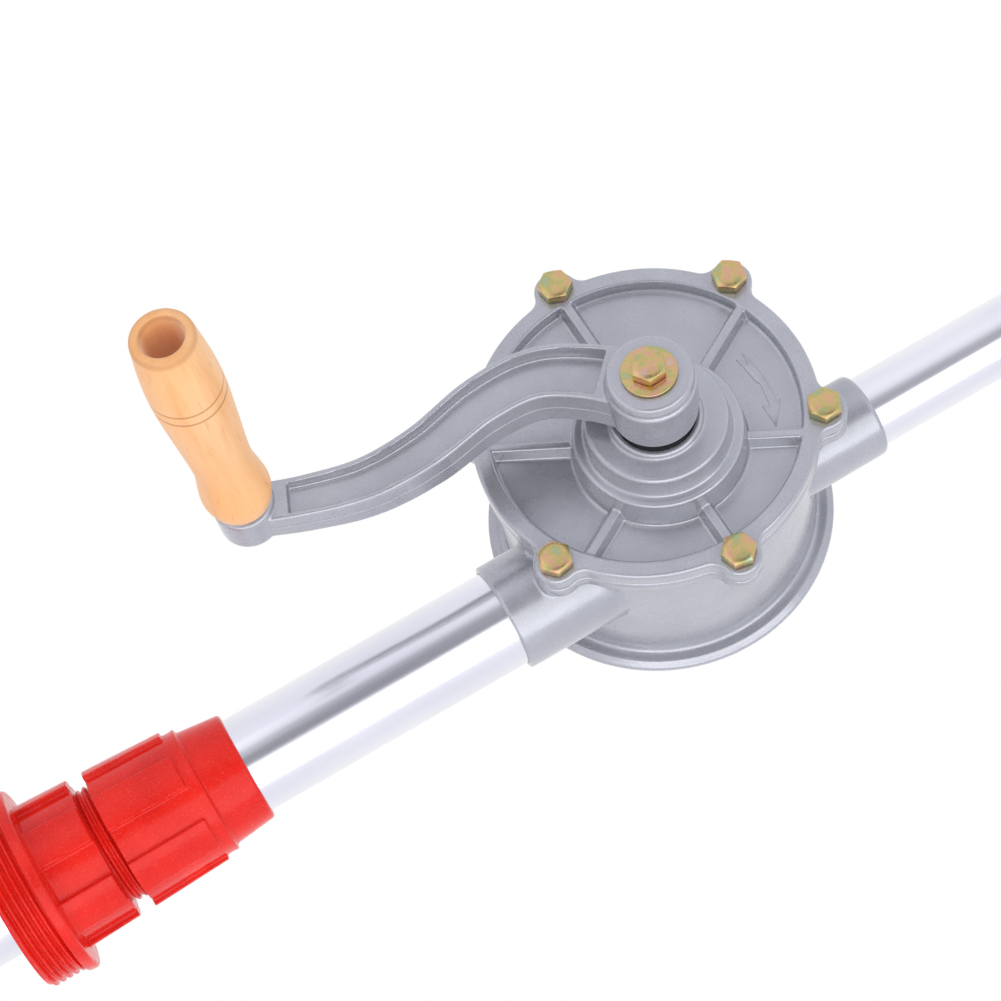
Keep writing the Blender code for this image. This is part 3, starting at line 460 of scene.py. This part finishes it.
def yellow_zinc():
    """Yellow passivated zinc: gold, drifting to green, pink and pale blue."""
    s = Surface("yellow_zinc", (0.66, 0.52, 0.25), 0.26, 1.0)
    drift = s.noise(210, 3, 0.6)
    film = s.ramp(
        drift,
        (0.30, (0.36, 0.50, 0.34)),
        (0.42, (0.50, 0.46, 0.19)),
        (0.52, (0.64, 0.48, 0.20)),
        (0.62, (0.70, 0.40, 0.26)),
        (0.74, (0.58, 0.50, 0.40)),
    )
    s.feed("Base Color", film)
    s.feed("Roughness", s.remap(s.noise(700, 3), 0.3, 0.7, 0.20, 0.38))
    s.bump(s.noise(900, 3), 0.12, 0.0001)
    return s.material


def machined(name, colour, roughness, stretch=(1, 1, 1)):
    """A turned or ground metal with fine tool marks."""
    s = Surface(name, colour, roughness, 1.0)
    marks = s.noise(1400, 2, 0.5, stretch)
    dark = tuple(0.85 * c for c in colour)
    s.feed("Base Color", s.ramp(s.noise(80, 3), (0.3, dark), (0.7, colour)))
    s.feed("Roughness", s.remap(marks, 0.3, 0.7, 0.8 * roughness, 1.25 * roughness))
    s.bump(marks, 0.08, 0.0001)
    return s.material


def moulded(name, colour, roughness, grain=700):
    """A plain moulded or pressed material with a fine surface grain."""
    s = Surface(name, colour, roughness)
    dark = tuple(0.8 * c for c in colour)
    s.feed("Base Color", s.ramp(s.noise(grain / 6, 3), (0.3, dark), (0.7, colour)))
    dull = min(1.0, 1.15 * roughness)
    s.feed("Roughness", s.remap(s.noise(grain / 2, 2), 0.3, 0.7, 0.85 * roughness, dull))
    s.bump(s.noise(grain, 3), 0.2, 0.0002)
    return s.material


finishes = {
    "painted_casting": painted_casting(),
    "bright_aluminium": bright_aluminium(),
    "machined_aluminium": machined("machined_aluminium", (0.62, 0.63, 0.65), 0.32, (1, 0.02, 1)),
    "red_plastic": red_plastic(),
    "beech": beech(),
    "yellow_zinc": yellow_zinc(),
    "steel": machined("steel", (0.50, 0.51, 0.53), 0.28, (1, 0.03, 1)),
    "bronze": machined("bronze", (0.55, 0.38, 0.20), 0.36),
    "rubber": moulded("rubber", (0.025, 0.025, 0.025), 0.65),
    "nylon": moulded("nylon", (0.80, 0.78, 0.72), 0.42),
    "gasket_board": moulded("gasket_board", (0.20, 0.18, 0.16), 0.80),
}
slots = {row["node"]: row["material_slot"] for row in frame["record"]["subparts"]}
bodies = {node: body for body, nodes in frame["record"]["behaviour"]["bodies"].items() for node in nodes}

for node, thing in frame["nodes"].items():
    thing.data.materials.clear()
    thing.data.materials.append(finishes[slots[node]])


def show(piece, node, sharp=35):
    """The piece stands for a CAD node, with that node's body and finish."""
    smooth(piece, sharp)
    if not any(piece.data.materials):
        piece.data.materials.clear()
        piece.data.materials.append(finishes[slots[node]])
    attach(piece, bodies[node])
    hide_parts(node)
    return piece


# -------------------------------------------------------- outline with bolt ears

bolt_angles = [math.radians(60 * i) for i in range(6)]


def eared_outline(radius, ear=ear_radius):
    """A disc with a round ear at each bolt, blended by hollow fillets."""
    reach = radius + ear_fillet
    join = ear + ear_fillet
    lean = math.acos((reach**2 + bolt_circle**2 - join**2) / (2 * reach * bolt_circle))
    points = []
    for angle in bolt_angles:
        bolt = bolt_circle * Vector((math.cos(angle), math.sin(angle)))
        before = reach * Vector((math.cos(angle - lean), math.sin(angle - lean)))
        after = reach * Vector((math.cos(angle + lean), math.sin(angle + lean)))
        points += sweep(before, ear_fillet, -before, bolt - before, 8)
        points += sweep(bolt, ear, before - bolt, after - bolt, 22, outer=True)[1:-1]
        points += sweep(after, ear_fillet, bolt - after, -after, 8)
        points += sweep(Vector((0, 0)), radius, after, turn_by(after, math.radians(60) - 2 * lean), 16)[1:-1]
    return points


def turn_by(vector, angle):
    return Matrix.Rotation(angle, 2) @ vector


def sweep(centre, radius, start, stop, steps, outer=False):
    """Points along an arc between two directions, the short way or the outer way."""
    first = math.atan2(start.y, start.x)
    swing = math.atan2(stop.y, stop.x) - first
    swing = (swing + math.pi) % (2 * math.pi) - math.pi
    if outer and swing < 0:
        swing += 2 * math.pi
    turns = [first + swing * i / steps for i in range(steps + 1)]
    return [(centre.x + radius * math.cos(t), centre.y + radius * math.sin(t)) for t in turns]


# --------------------------------------------------------------------- cover


def cover():
    rim = plate("rim", eared_outline(rim_radius), -rim_thickness, 0, chamber, 0.0011, 4)
    edge = 0.0009
    recess = turned(
        "recess",
        [(0, 0.01), (recess_radius + edge, 0.01)]
        + arc(recess_radius + edge, -edge, edge, 90, 180)
        + arc(recess_radius - 0.0011, -recess_depth + 0.0011, 0.0011, 0, -90)
        + [(0, -recess_depth)],
        chamber,
    )
    spigot = rod("spigot", 0.0477, plate_under, -0.001, chamber)
    base = hub_base_radius
    hub = turned(
        "hub",
        [(0.0096, 0.0076), (0.0096, 0.0140), (0.0125, 0.0140), (0.0125, 0.0160)]
        + arc(0.0133, 0.0160, 0.0004, 180, 90)
        + arc(0.0137, 0.0154, 0.0010, 90, 0)
        + arc(0.0153, 0.0150, 0.0006, 180, 270)
        + arc(0.0212, 0.0131, 0.0013, 90, 6)
        + arc(0.0240, 0.0069, 0.0008, 180, 270)
        + arc(base - hub_draft - 0.0011, 0.0050, 0.0011, 90, 6)
        + arc(base + 0.0012, -recess_depth + 0.0012, 0.0012, 180, 270)
        + [(base + 0.0012, -0.0075), (0.0066, -0.0075), (0.0066, 0.0076)],
        shaft,
        ring=True,
    )
    carve(rim, recess)
    carve(spigot, rod("top", 0.06, -recess_depth, 0.01, chamber))
    ribs = []
    for n in range(6):
        angle = math.radians(60 * n)
        direction = Vector((math.cos(angle), math.sin(angle)))
        centre = Vector((-rotor_offset, 0))
        along = centre.dot(direction)
        outer = along + math.sqrt(along**2 - centre.length_squared + recess_radius**2) + 0.0008
        inner = base - 0.0035
        middle = Matrix.Translation(((inner + outer) / 2, 0, -recess_depth - 0.0005))
        size = (outer - inner, rib_width, recess_depth + 0.0001)
        ribs.append(block("rib", size, shaft @ Matrix.Rotation(angle, 4, "Z") @ middle, 0.5, 0.0003))
    casting = cast(gather("cover_casting", rim, spigot, hub, *ribs), 0.00042, 3, 0.45)
    carve(casting, rod("bore", shaft_bore, -0.02, 0.03, shaft, 48))
    return gather("cover_casting", casting, arrow())


def lip_seal():
    """The shaft seal, with a dust lip in the mouth of the hub."""
    profile = [(0.0062, 0.0090), (0.0093, 0.0090), (0.0093, 0.0141), (0.0123, 0.0141)]
    profile += arc(0.0119, 0.0154, 0.0004, 0, 90, 3)
    profile += [(0.0076, 0.0156), (0.0066, 0.0158), (0.0062, 0.0158)]
    return turned("lip_seal", profile, shaft, 96, ring=True)


def arrow():
    """A low raised arrow for the way it turns: forked tail, stepped shaft, barbed head."""
    tip, neck, step, fork, tail = (math.radians(t) for t in (67, 79, 92, 104, 110))
    edge = [(tail + (neck - tail) * i / 12, 0.0016) for i in range(13)]
    edge += [(neck + 0.03, 0.0031), (tip, 0), (neck + 0.03, -0.0031), (neck, -0.0008)]
    edge += [(step, -0.0007), (step + 0.05, -0.0016), (fork, -0.0016)]
    edge += [(tail, -0.0014), (fork, 0.0002)]
    outline = []
    for turn, across in edge:
        r = 0.0368 + 0.0039 * (turn - tip) + across
        outline.append((r * math.cos(turn), r * math.sin(turn)))
    low, high = -recess_depth - 0.0004, -recess_depth + 0.00028
    return plate("arrow", outline, low, high, shaft, 0.0001, 1)


# ------------------------------------------------------------------- housing


def housing():
    body = turned(
        "body",
        [(0, -0.0085), (housing_radius, -0.0085)]
        + [(housing_radius, flange_front + 0.0016)]
        + arc(housing_radius + 0.0016, flange_front + 0.0016, 0.0016, 180, 270)
        + arc(0.0562, flange_front - 0.0006, 0.0006, 90, 0)
        + arc(0.0574, flange_front - 0.0022, 0.0010, 90, 0)
        + arc(0.0573, housing_back + 0.0009, 0.0009, 0, -90)
        + [(0, housing_back)],
        chamber,
    )
    flange = plate("flange", eared_outline(0.0550, 0.0070), -0.0115, -0.0066, chamber, 0.0009)
    suction = turned(
        "suction",
        [(0, chamber_z)]
        + [(0.01830, chamber_z), (0.01805, suction_socket_end + 0.0008)]
        + arc(0.01805 - 0.0007, suction_socket_end + 0.0007, 0.0007, 0, -90)
        + [(0, suction_socket_end)],
    )
    discharge = turned(
        "discharge",
        [(0, discharge_socket_end)]
        + arc(0.01425 - 0.0016, discharge_socket_end - 0.0016, 0.0016, 90, 0)
        + [(0.0148, chamber_z), (0, chamber_z)],
        Matrix.Translation((discharge_x, 0, 0)),
    )
    boss = turned(
        "boss",
        [(0, housing_back - 0.006)]
        + arc(0.0125, housing_back - 0.0050, 0.0010, -90, 0)
        + [(0.0137, housing_back + 0.002), (0, housing_back + 0.002)],
        shaft,
    )
    casting = cast(gather("housing_casting", body, flange, suction, discharge, boss), 0.00055, 5, 0.35)
    bores = [
        rod("chamber", chamber_radius, chamber_back, 0.01, chamber),
        rod("face", 0.09, housing_front, 0.01, chamber),
        socket_bore(suction_socket_end, pipe_bore, suction_pipe_inner, chamber_z - port_end, 1),
        socket_bore(discharge_socket_end, discharge_bore, discharge_port, chamber_z + port_end, -1),
        rod("bearing", bearing_bore, -0.0726, -0.05, shaft, 64),
    ]
    return carve(casting, *bores)


def socket_bore(mouth, wide, narrow, inner, way):
    """A stepped bore with a chamfered mouth; way is +1 if it runs up from the mouth."""
    shift = 0.0 if way > 0 else discharge_x
    seat = mouth + way * socket_depth
    outside = mouth - way * 0.01
    chamfer = 0.0004
    profile = [(0, outside), (wide + chamfer, outside), (wide + chamfer, mouth)]
    profile += [(wide, mouth + way * chamfer), (wide, seat), (narrow, seat), (narrow, inner), (0, inner)]
    return turned("socket_bore", profile, Matrix.Translation((shift, 0, 0)), bore_steps)


# --------------------------------------------------------------------- bolts


def hex_head(name, matrix, turn, shank_end, head=0.0040):
    """A hexagon head with a turned chamfer, a washer face and its shank."""
    flats = 0.0100
    corner = flats / math.sqrt(3)
    bolt = plate(name, circle(corner, 6, phase=turn), 0.0004, head + 0.0005, matrix)
    crown = turned(
        "crown",
        [(0, head + 0.0003), (flats * 0.36, head + 0.0003)]
        + [(flats * 0.455, head + 0.0001), (flats * 0.485, head - 0.0001), (corner * 1.05, head - 0.0007)]
        + [(corner * 1.05, 0.0009), (flats * 0.5, 0.0003), (0, 0.0003)],
        matrix,
        96,
    )
    shape = bolt.modifiers.new("shape", "BOOLEAN")
    shape.operation = "INTERSECT"
    shape.object = crown
    soft = bolt.modifiers.new("edges", "BEVEL")
    soft.width = 0.00012
    soft.segments = 2
    soft.limit_method = "ANGLE"
    soft.angle_limit = math.radians(25)
    settle(bolt)
    bpy.data.objects.remove(crown)
    shank = turned(
        "shank",
        [(0, 0.0010), (0.0047, 0.0010), (0.0047, 0.00031), (0.0030, 0.00031), (0.0030, shank_end + 0.0006)]
        + [(0.0024, shank_end), (0, shank_end)],
        matrix,
        48,
    )
    return gather(name, bolt, shank)


def bolts():
    for n, angle in enumerate(bolt_angles, 1):
        spot = chamber @ Matrix.Translation((bolt_circle * math.cos(angle), bolt_circle * math.sin(angle), 0))
        show(hex_head(f"hex_bolt_{n}", spot, math.radians(17 * n), -0.0110), f"cover_bolt_{n}")
    top = crank @ Matrix.Translation((0, 0, washer_top))
    show(hex_head("hex_bolt_crank", top, math.radians(20), -0.0170), "crank_bolt")
    washer = turned(
        "plain_washer",
        [(0.0034, washer_top), (0.0034, washer_under), (0.0086, washer_under)]
        + [(0.0087, crank_top + 0.0005)]
        + arc(0.0083, crank_top + 0.0012, 0.0004, 0, 90, 4),
        crank,
        bore_steps,
        ring=True,
    )
    show(washer, "crank_washer")


# --------------------------------------------------------------------- crank


def smooth_through(points, steps):
    """A Catmull-Rom curve through the points, as (x, y) pairs."""
    start = tuple(2 * a - b for a, b in zip(points[0], points[1]))
    stop = tuple(2 * a - b for a, b in zip(points[-1], points[-2]))
    p = [start, *points, stop]
    out = []
    for corners in zip(p, p[1:], p[2:], p[3:]):
        for i in range(steps):
            out.append(tuple(spline_at(*values, i / steps) for values in zip(*corners)))
    return out + [points[-1]]


def spline_at(a, b, c, d, t):
    """The Catmull-Rom value between b and c, at share t of the way."""
    square = (2 * a - 5 * b + 4 * c - d) * t**2
    cube = (3 * b - a - 3 * c + d) * t**3
    return 0.5 * (2 * b + (c - a) * t + square + cube)


def arm_outline(inset, start, end):
    """The arm's outline shrunk by inset, between two shares of its length."""
    path = [(0.0, 0.0), *crank_bends, (1.0, 0.0)]
    spine = [Vector((crank_radius * u, -crank_radius * v)) for u, v in smooth_through(path, 16)]
    reach = [0.0]
    for a, b in zip(spine, spine[1:]):
        reach.append(reach[-1] + (b - a).length)
    left, right = [], []
    for i, point in enumerate(spine):
        share = reach[i] / reach[-1]
        if not start <= share <= end:
            continue
        before, after = spine[max(i - 1, 0)], spine[min(i + 1, len(spine) - 1)]
        along = (after - before).normalized()
        across = Vector((-along.y, along.x))
        half = (arm_grip_width + (arm_hub_width - arm_grip_width) * (1 - share) ** 1.3) / 2 - inset
        left.append(tuple(point + across * half))
        right.append(tuple(point - across * half))
    return right + left[::-1]


def crank_casting():
    """The arm with its pockets, hub, grip boss and the thin seam where the die parts."""
    half = arm_hub_thickness / 2
    arm = plate("arm", arm_outline(0, 0.02, 0.99), -half, half, rounding=0.0009, segments=3)
    for v in arm.data.vertices:  # thinner towards the grip
        share = v.co.x / crank_radius
        v.co.z = arm_middle + v.co.z * (1 + (arm_grip_thickness / arm_hub_thickness - 1) * share)
    arm.data.transform(crank)
    pockets = []
    for low, high in ((arm_middle + arm_web / 2, crank_top), (0, arm_middle - arm_web / 2)):
        pockets.append(plate("pocket", arm_outline(arm_rim, 0.113, 0.905), low, high, crank, 0.0008))
    carve(arm, *pockets)
    hub_radius = 0.0140
    hub = turned(
        "hub",
        [(0, crank_top)]
        + arc(0.0122, crank_top - 0.0010, 0.0010, 90, 15)
        + [(0.0136, crank_top - 0.0030), (0.0134, crank_top - 0.0037), (0.0131, crank_top - 0.0042)]
        + arc(0.0131, crank_top - 0.0054, 0.0009, 60, 0)
        + [(hub_radius, crank_under + 0.0062), (0.0136, crank_under + 0.0056), (0.0135, crank_under + 0.0012)]
        + arc(0.0125, crank_under + 0.0010, 0.0010, 0, -90)
        + [(0, crank_under)],
        crank,
    )
    boss_under = arm_middle - arm_grip_thickness / 2
    at_grip = crank @ Matrix.Translation((crank_radius, 0, 0))
    boss = turned(
        "boss",
        [(0, boss_top)]
        + arc(0.0087, boss_top - 0.0008, 0.0008, 90, 0)
        + arc(0.0083, boss_under + 0.0012, 0.0012, 0, -90)
        + [(0, boss_under)],
        at_grip,
    )
    casting = cast(gather("crank_casting", arm, hub, boss), 0.00038, 3, 0.45)
    bolt_bore, shoulder = 0.0034, crank_top - 0.0007
    bore = turned(
        "bore",
        [(0, 0.06), (bolt_bore, 0.06), (bolt_bore, shoulder)]
        + [(shaft_bore, shoulder), (shaft_bore, 0), (0, 0)],
        crank,
        64,
    )
    pin = rod("pin", grip_pin_bore, boss_under + 0.003, 0.06, at_grip, 48)
    carve(casting, bore, pin)
    proud, seam = 0.0002, 0.0003
    low, high = arm_middle - seam, arm_middle + seam
    flash = plate("flash", arm_outline(-proud, 0.06, 0.97), low, high, crank, 0.0001, 1)
    return gather("crank_casting", casting, flash)


# ---------------------------------------------------------------------- grip


def hand_grip():
    """The turned grip: a bulb at the crank, two fine grooves near its counterbored tip."""
    low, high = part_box("hand_grip")
    base, tip = cover_y - high.y, cover_y - low.y
    length = tip - base
    groove = 0.0004
    outside = []
    for share, r in smooth_through(grip_shape, 16):
        height = base + length * share
        if height < tip - 0.0016:
            cut = max(0.0, 1 - min(abs(tip - height - line) for line in grip_lines) / groove)
            outside.append((r - groove * cut, height))
    mouth = grip_counterbore_radius
    floor = tip - grip_counterbore_depth
    profile = (
        arc(mouth + 0.0008, tip - 0.0008, 0.0008, 180, 90)
        + arc(0.0077, tip - 0.0016, 0.0016, 90, 10)
        + outside[::-1]
        + [(grip_pin_bore, base), (grip_pin_bore, floor), (mouth - 0.0003, floor)]
    )
    return turned("turned_grip", profile, grip, ring=True)


# --------------------------------------------------------------------- pipes


def tube(name, inner, outer, low, high, matrix=upright):
    """A pipe with lightly broken edges at both ends."""
    edge = 0.0002
    profile = [(outer - edge, high), (outer, high - edge), (outer, low + edge), (outer - edge, low)]
    profile += [(inner + edge, low), (inner, low + edge), (inner, high - edge), (inner + edge, high)]
    return turned(name, profile, matrix, ring=True)


def pipes():
    for part in ("upper", "middle", "lower"):
        low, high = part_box(f"suction_pipe_{part}")
        pipe = tube(f"drawn_pipe_{part}", suction_pipe_inner, suction_pipe_radius, low.z, high.z)
        show(pipe, f"suction_pipe_{part}")
    for n in (1, 2):
        low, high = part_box(f"pipe_coupling_{n}")
        show(tube(f"coupling_{n}", pipe_bore, coupling_radius, low.z, high.z), f"pipe_coupling_{n}")


def spout():
    """The discharge pipe: up from its socket and over in a smooth bend."""
    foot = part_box("discharge_pipe")[0].z
    bend_start = discharge_socket_end + spout_straight
    centres = [Vector((0, 0, foot)), Vector((0, 0, discharge_socket_end + 0.02))]
    steps = 56
    for i in range(steps + 1):
        t = spout_bend_angle * i / steps
        rise = spout_bend * math.sin(t)
        centres.append(Vector((spout_bend * (1 - math.cos(t)), 0, bend_start + rise)))
    leave = Vector((math.sin(spout_bend_angle), 0, math.cos(spout_bend_angle)))
    centres.append(centres[-1] + leave * spout_tip_length)
    bm = bmesh.new()
    count = 72
    level = Vector((0, 1, 0))
    rings = []
    for i, centre in enumerate(centres):
        before, after = centres[max(i - 1, 0)], centres[min(i + 1, len(centres) - 1)]
        side = level.cross((after - before).normalized())
        loops = []
        for r in (discharge_pipe_radius, discharge_pipe_radius - discharge_pipe_wall):
            loop = []
            for k in range(count):
                t = 2 * math.pi * k / count
                loop.append(bm.verts.new(centre + r * (math.cos(t) * side + math.sin(t) * level)))
            loops.append(loop)
        rings.append(loops)
    for a, b in zip(rings, rings[1:]):
        for skin in (0, 1):
            for k in range(count):
                m = (k + 1) % count
                bm.faces.new((a[skin][k], a[skin][m], b[skin][m], b[skin][k]))
    for end in (rings[0], rings[-1]):
        for k in range(count):
            m = (k + 1) % count
            bm.faces.new((end[0][k], end[0][m], end[1][m], end[1][k]))
    bmesh.ops.recalc_face_normals(bm, faces=bm.faces)
    return place(bm, "drawn_spout", Matrix.Translation((discharge_x, 0, 0)))


# --------------------------------------------------------------- bung adapter


def helix(name, crest, depth, pitch, low, high, inner, steps=180, per_turn=10):
    """A threaded sleeve: a right-hand helical ridge that runs out at each end."""
    bm = bmesh.new()
    rows = int(round((high - low) / pitch * per_turn))
    grid = []
    for i in range(rows + 1):
        z = low + (high - low) * i / rows
        fade = min(1.0, (z - low) / (0.6 * pitch), (high - z) / (0.3 * pitch))
        ring = []
        for k in range(steps):
            t = 2 * math.pi * k / steps
            share = (z / pitch - k / steps) % 1.0
            ridge = min(1.0, max(0.0, 1.35 - 3.2 * abs(share - 0.5)))
            r = crest - depth + depth * ridge * max(0.0, fade)
            ring.append(bm.verts.new((r * math.cos(t), r * math.sin(t), z)))
        grid.append(ring)
    core = []
    for z in (low, high):
        core.append([bm.verts.new((x, y, z)) for x, y in circle(inner, steps)])
    loops = [core[0], *grid, core[1], core[0]]
    for a, b in zip(loops, loops[1:]):
        for k in range(steps):
            m = (k + 1) % steps
            bm.faces.new((a[k], a[m], b[m], b[k]))
    bmesh.ops.recalc_face_normals(bm, faces=bm.faces)
    return place(bm, name)


def lug(angle, base, low, high, foot_radius, top_radius):
    """A raised land on a round body, from base out to a radius at its foot and top."""
    bm = bmesh.new()
    bmesh.ops.create_grid(bm, x_segments=10, y_segments=12, size=0.5)
    for v in bm.verts:
        t = lug_angle * v.co.x
        share = v.co.y + 0.5
        outer = foot_radius + (top_radius - foot_radius) * share
        v.co = (outer * math.cos(t), outer * math.sin(t), low + (high - low) * share)
    back = bmesh.ops.extrude_face_region(bm, geom=bm.faces[:])["geom"]
    for v in back:
        if isinstance(v, bmesh.types.BMVert):
            share = base / math.hypot(v.co.x, v.co.y)
            v.co.x *= share
            v.co.y *= share
    bmesh.ops.recalc_face_normals(bm, faces=bm.faces)
    return place(bm, "lug", Matrix.Rotation(angle, 4, "Z"))


def lugs(*sizes):
    """Lugs spaced evenly round a body, the first towards +Y."""
    return [lug(math.radians(90 + 360 / lug_count * n), *sizes) for n in range(lug_count)]


def bung_adapter():
    body = turned(
        "body",
        [(neck_inner, 0.0300), (0.0180, 0.0300), (0.0180, body_height)]
        + arc(0.0213, 0.0217, 0.0006, 90, 0)
        + [(0.0223, 0.0044)]
        + arc(0.0299, 0.0026, 0.0012, 90, 0)
        + arc(0.0301, 0.0008, 0.0008, 0, -90)
        + [(neck_inner, 0.0)],
        ring=True,
    )
    raised = lugs(0.0200, 0.0030, 0.0219, 0.02475, 0.02395)
    body = cast(gather("adapter_body", body, *raised), 0.00036, 2, 0.5)
    carve(body, rod("bore", pipe_bore, -0.02, 0.06, steps=bore_steps))
    threads = [
        helix("bung_thread", 0.0298, 0.00125, 0.002309, -0.0120, 0.0004, 0.0250),
        helix("neck_thread", neck_radius, 0.0010, 0.0023, 0.0221, 0.0453, neck_inner),
    ]
    return gather("moulded_adapter", body, *threads)


def clamp_nut():
    skirt = turned(
        "skirt",
        [(pipe_bore, nut_top)]
        + arc(0.0183 - 0.0012, nut_top - 0.0012, 0.0012, 90, 5)
        + [(0.0197, nut_collar_top + 0.0004), (0.0202, nut_collar_top)]
        + arc(0.0208, nut_collar_top - 0.0006, 0.0005, 90, 0)
        + [(0.0211, nut_skirt_top)]
        + arc(0.0220 - 0.0004, nut_start + 0.0004, 0.0004, 0, -90)
        + [(nut_bore, nut_start), (nut_bore, nut_shoulder), (pipe_bore, nut_shoulder)],
        ring=True,
    )
    raised = lugs(0.0204, nut_start, nut_skirt_top - 0.0026, 0.0238, 0.0226)
    casting = cast(gather("moulded_nut", skirt, *raised), 0.00034, 2, 0.5)
    return carve(casting, rod("bore", pipe_bore, 0.01, 0.09, steps=bore_steps))


# -------------------------------------------------------------------- staging

camera_place = Vector((0.3291, -0.7319, 0.0864))
camera_right = Vector((0.48798, 0.12713, 0.86355))
camera_up = Vector((-0.75153, -0.44199, 0.48975))
camera_back = Vector((0.44394, -0.88797, -0.12014))
pump_middle = Vector((chamber_x, cover_y, chamber_z))

# the room's light, from behind the pump (0) round to the camera's side (1)
room_light = (
    (0.0, (1.00, 1.00, 1.00)),
    (0.50, (0.90, 0.90, 0.98)),
    (0.80, (0.96, 0.96, 1.04)),
    (0.88, (0.80, 0.80, 0.88)),
    (0.93, (0.42, 0.42, 0.47)),
    (0.98, (0.32, 0.32, 0.36)),
)


def stage():
    """A pale floor, and a world that is white to the eye and lights as a room does."""
    floor = plate("floor", circle(2.2, 96), cad_box[0].z - 0.012, cad_box[0].z - 0.002)
    paint = Surface("floor_paint", (0.86, 0.86, 0.87), 0.75)
    wear = paint.ramp(paint.noise(3, 3), (0.3, (0.84, 0.84, 0.85)), (0.7, (0.88, 0.88, 0.89)))
    paint.feed("Base Color", wear)
    floor.data.materials.append(paint.material)

    world = bpy.data.worlds.new("studio")
    world.use_nodes = True
    bpy.context.scene.world = world
    nodes, links = world.node_tree.nodes, world.node_tree.links
    output = nodes["World Output"]
    seen = nodes["Background"]
    seen.inputs["Color"].default_value = (1, 1, 1, 1)
    seen.inputs["Strength"].default_value = 1.0
    light = nodes.new("ShaderNodeBackground")
    light.inputs["Strength"].default_value = 1.0
    where = nodes.new("ShaderNodeTexCoord")
    facing = nodes.new("ShaderNodeVectorMath")
    facing.operation = "DOT_PRODUCT"
    facing.inputs[1].default_value = camera_back
    links.new(where.outputs["Generated"], facing.inputs[0])
    share = nodes.new("ShaderNodeMapRange")
    share.inputs["From Min"].default_value = -1
    links.new(facing.outputs["Value"], share.inputs["Value"])
    room = nodes.new("ShaderNodeValToRGB")
    while len(room.color_ramp.elements) < len(room_light):
        room.color_ramp.elements.new(0.5)
    for element, (position, colour) in zip(room.color_ramp.elements, room_light):
        element.position = position
        element.color = (*colour, 1)
    links.new(share.outputs["Result"], room.inputs["Fac"])
    links.new(room.outputs["Color"], light.inputs["Color"])
    ray = nodes.new("ShaderNodeLightPath")
    blend = nodes.new("ShaderNodeMixShader")
    links.new(ray.outputs["Is Camera Ray"], blend.inputs["Fac"])
    links.new(light.outputs["Background"], blend.inputs[1])
    links.new(seen.outputs["Background"], blend.inputs[2])
    links.new(blend.outputs["Shader"], output.inputs["Surface"])


def aim(thing, backwards, right):
    """Turns an object so that its local z and x lie along these directions."""
    z = Vector(backwards).normalized()
    x = Vector(right).normalized()
    y = z.cross(x)
    thing.matrix_world = Matrix.Translation(thing.location) @ Matrix((x, y, z)).transposed().to_4x4()


def camera():
    data = bpy.data.cameras.new("camera")
    data.sensor_width = 36
    data.lens = 91.35
    data.clip_start = 0.05
    data.clip_end = 20
    thing = bpy.data.objects.new("camera", data)
    thing.location = camera_place
    bpy.context.scene.collection.objects.link(thing)
    aim(thing, camera_back, camera_right)
    bpy.context.scene.camera = thing


def softbox(name, right, up, back, size, radiance, colour=(1, 1, 1)):
    """An area light placed in the camera's directions from the pump, facing it."""
    data = bpy.data.lights.new(name, "AREA")
    data.shape = "RECTANGLE"
    data.size, data.size_y = size
    data.energy = radiance * math.pi * size[0] * size[1]
    data.color = colour
    thing = bpy.data.objects.new(name, data)
    away = right * camera_right + up * camera_up + back * camera_back
    thing.location = pump_middle + away
    bpy.context.scene.collection.objects.link(thing)
    # its long side lies along the pipes
    z = away.normalized()
    x = Vector((0, 0, 1)).cross(z).normalized()
    aim(thing, z, x)


def lights():
    softbox("low_right", 0.30, -0.52, 1.04, (1.2, 2.0), 1.3)
    softbox("high_left", -0.80, 0.25, 0.85, (0.9, 1.2), 0.35)


# ----------------------------------------------------------------- the object

show(cover(), "front_cover", 50)
show(housing(), "pump_housing", 50)
show(lip_seal(), "shaft_seal")
show(crank_casting(), "crank_arm", 50)
show(hand_grip(), "hand_grip", 60).visible_glossy = False
show(bung_adapter(), "bung_adapter", 50)
show(clamp_nut(), "clamp_nut", 50)
show(spout(), "discharge_pipe")
bolts()
pipes()

for node, thing in frame["nodes"].items():
    if not thing.hide_render:
        smooth(thing)

stage()
camera()
lights()
bpy.context.scene.view_settings.view_transform = "Standard"

bpy.context.view_layer.update()
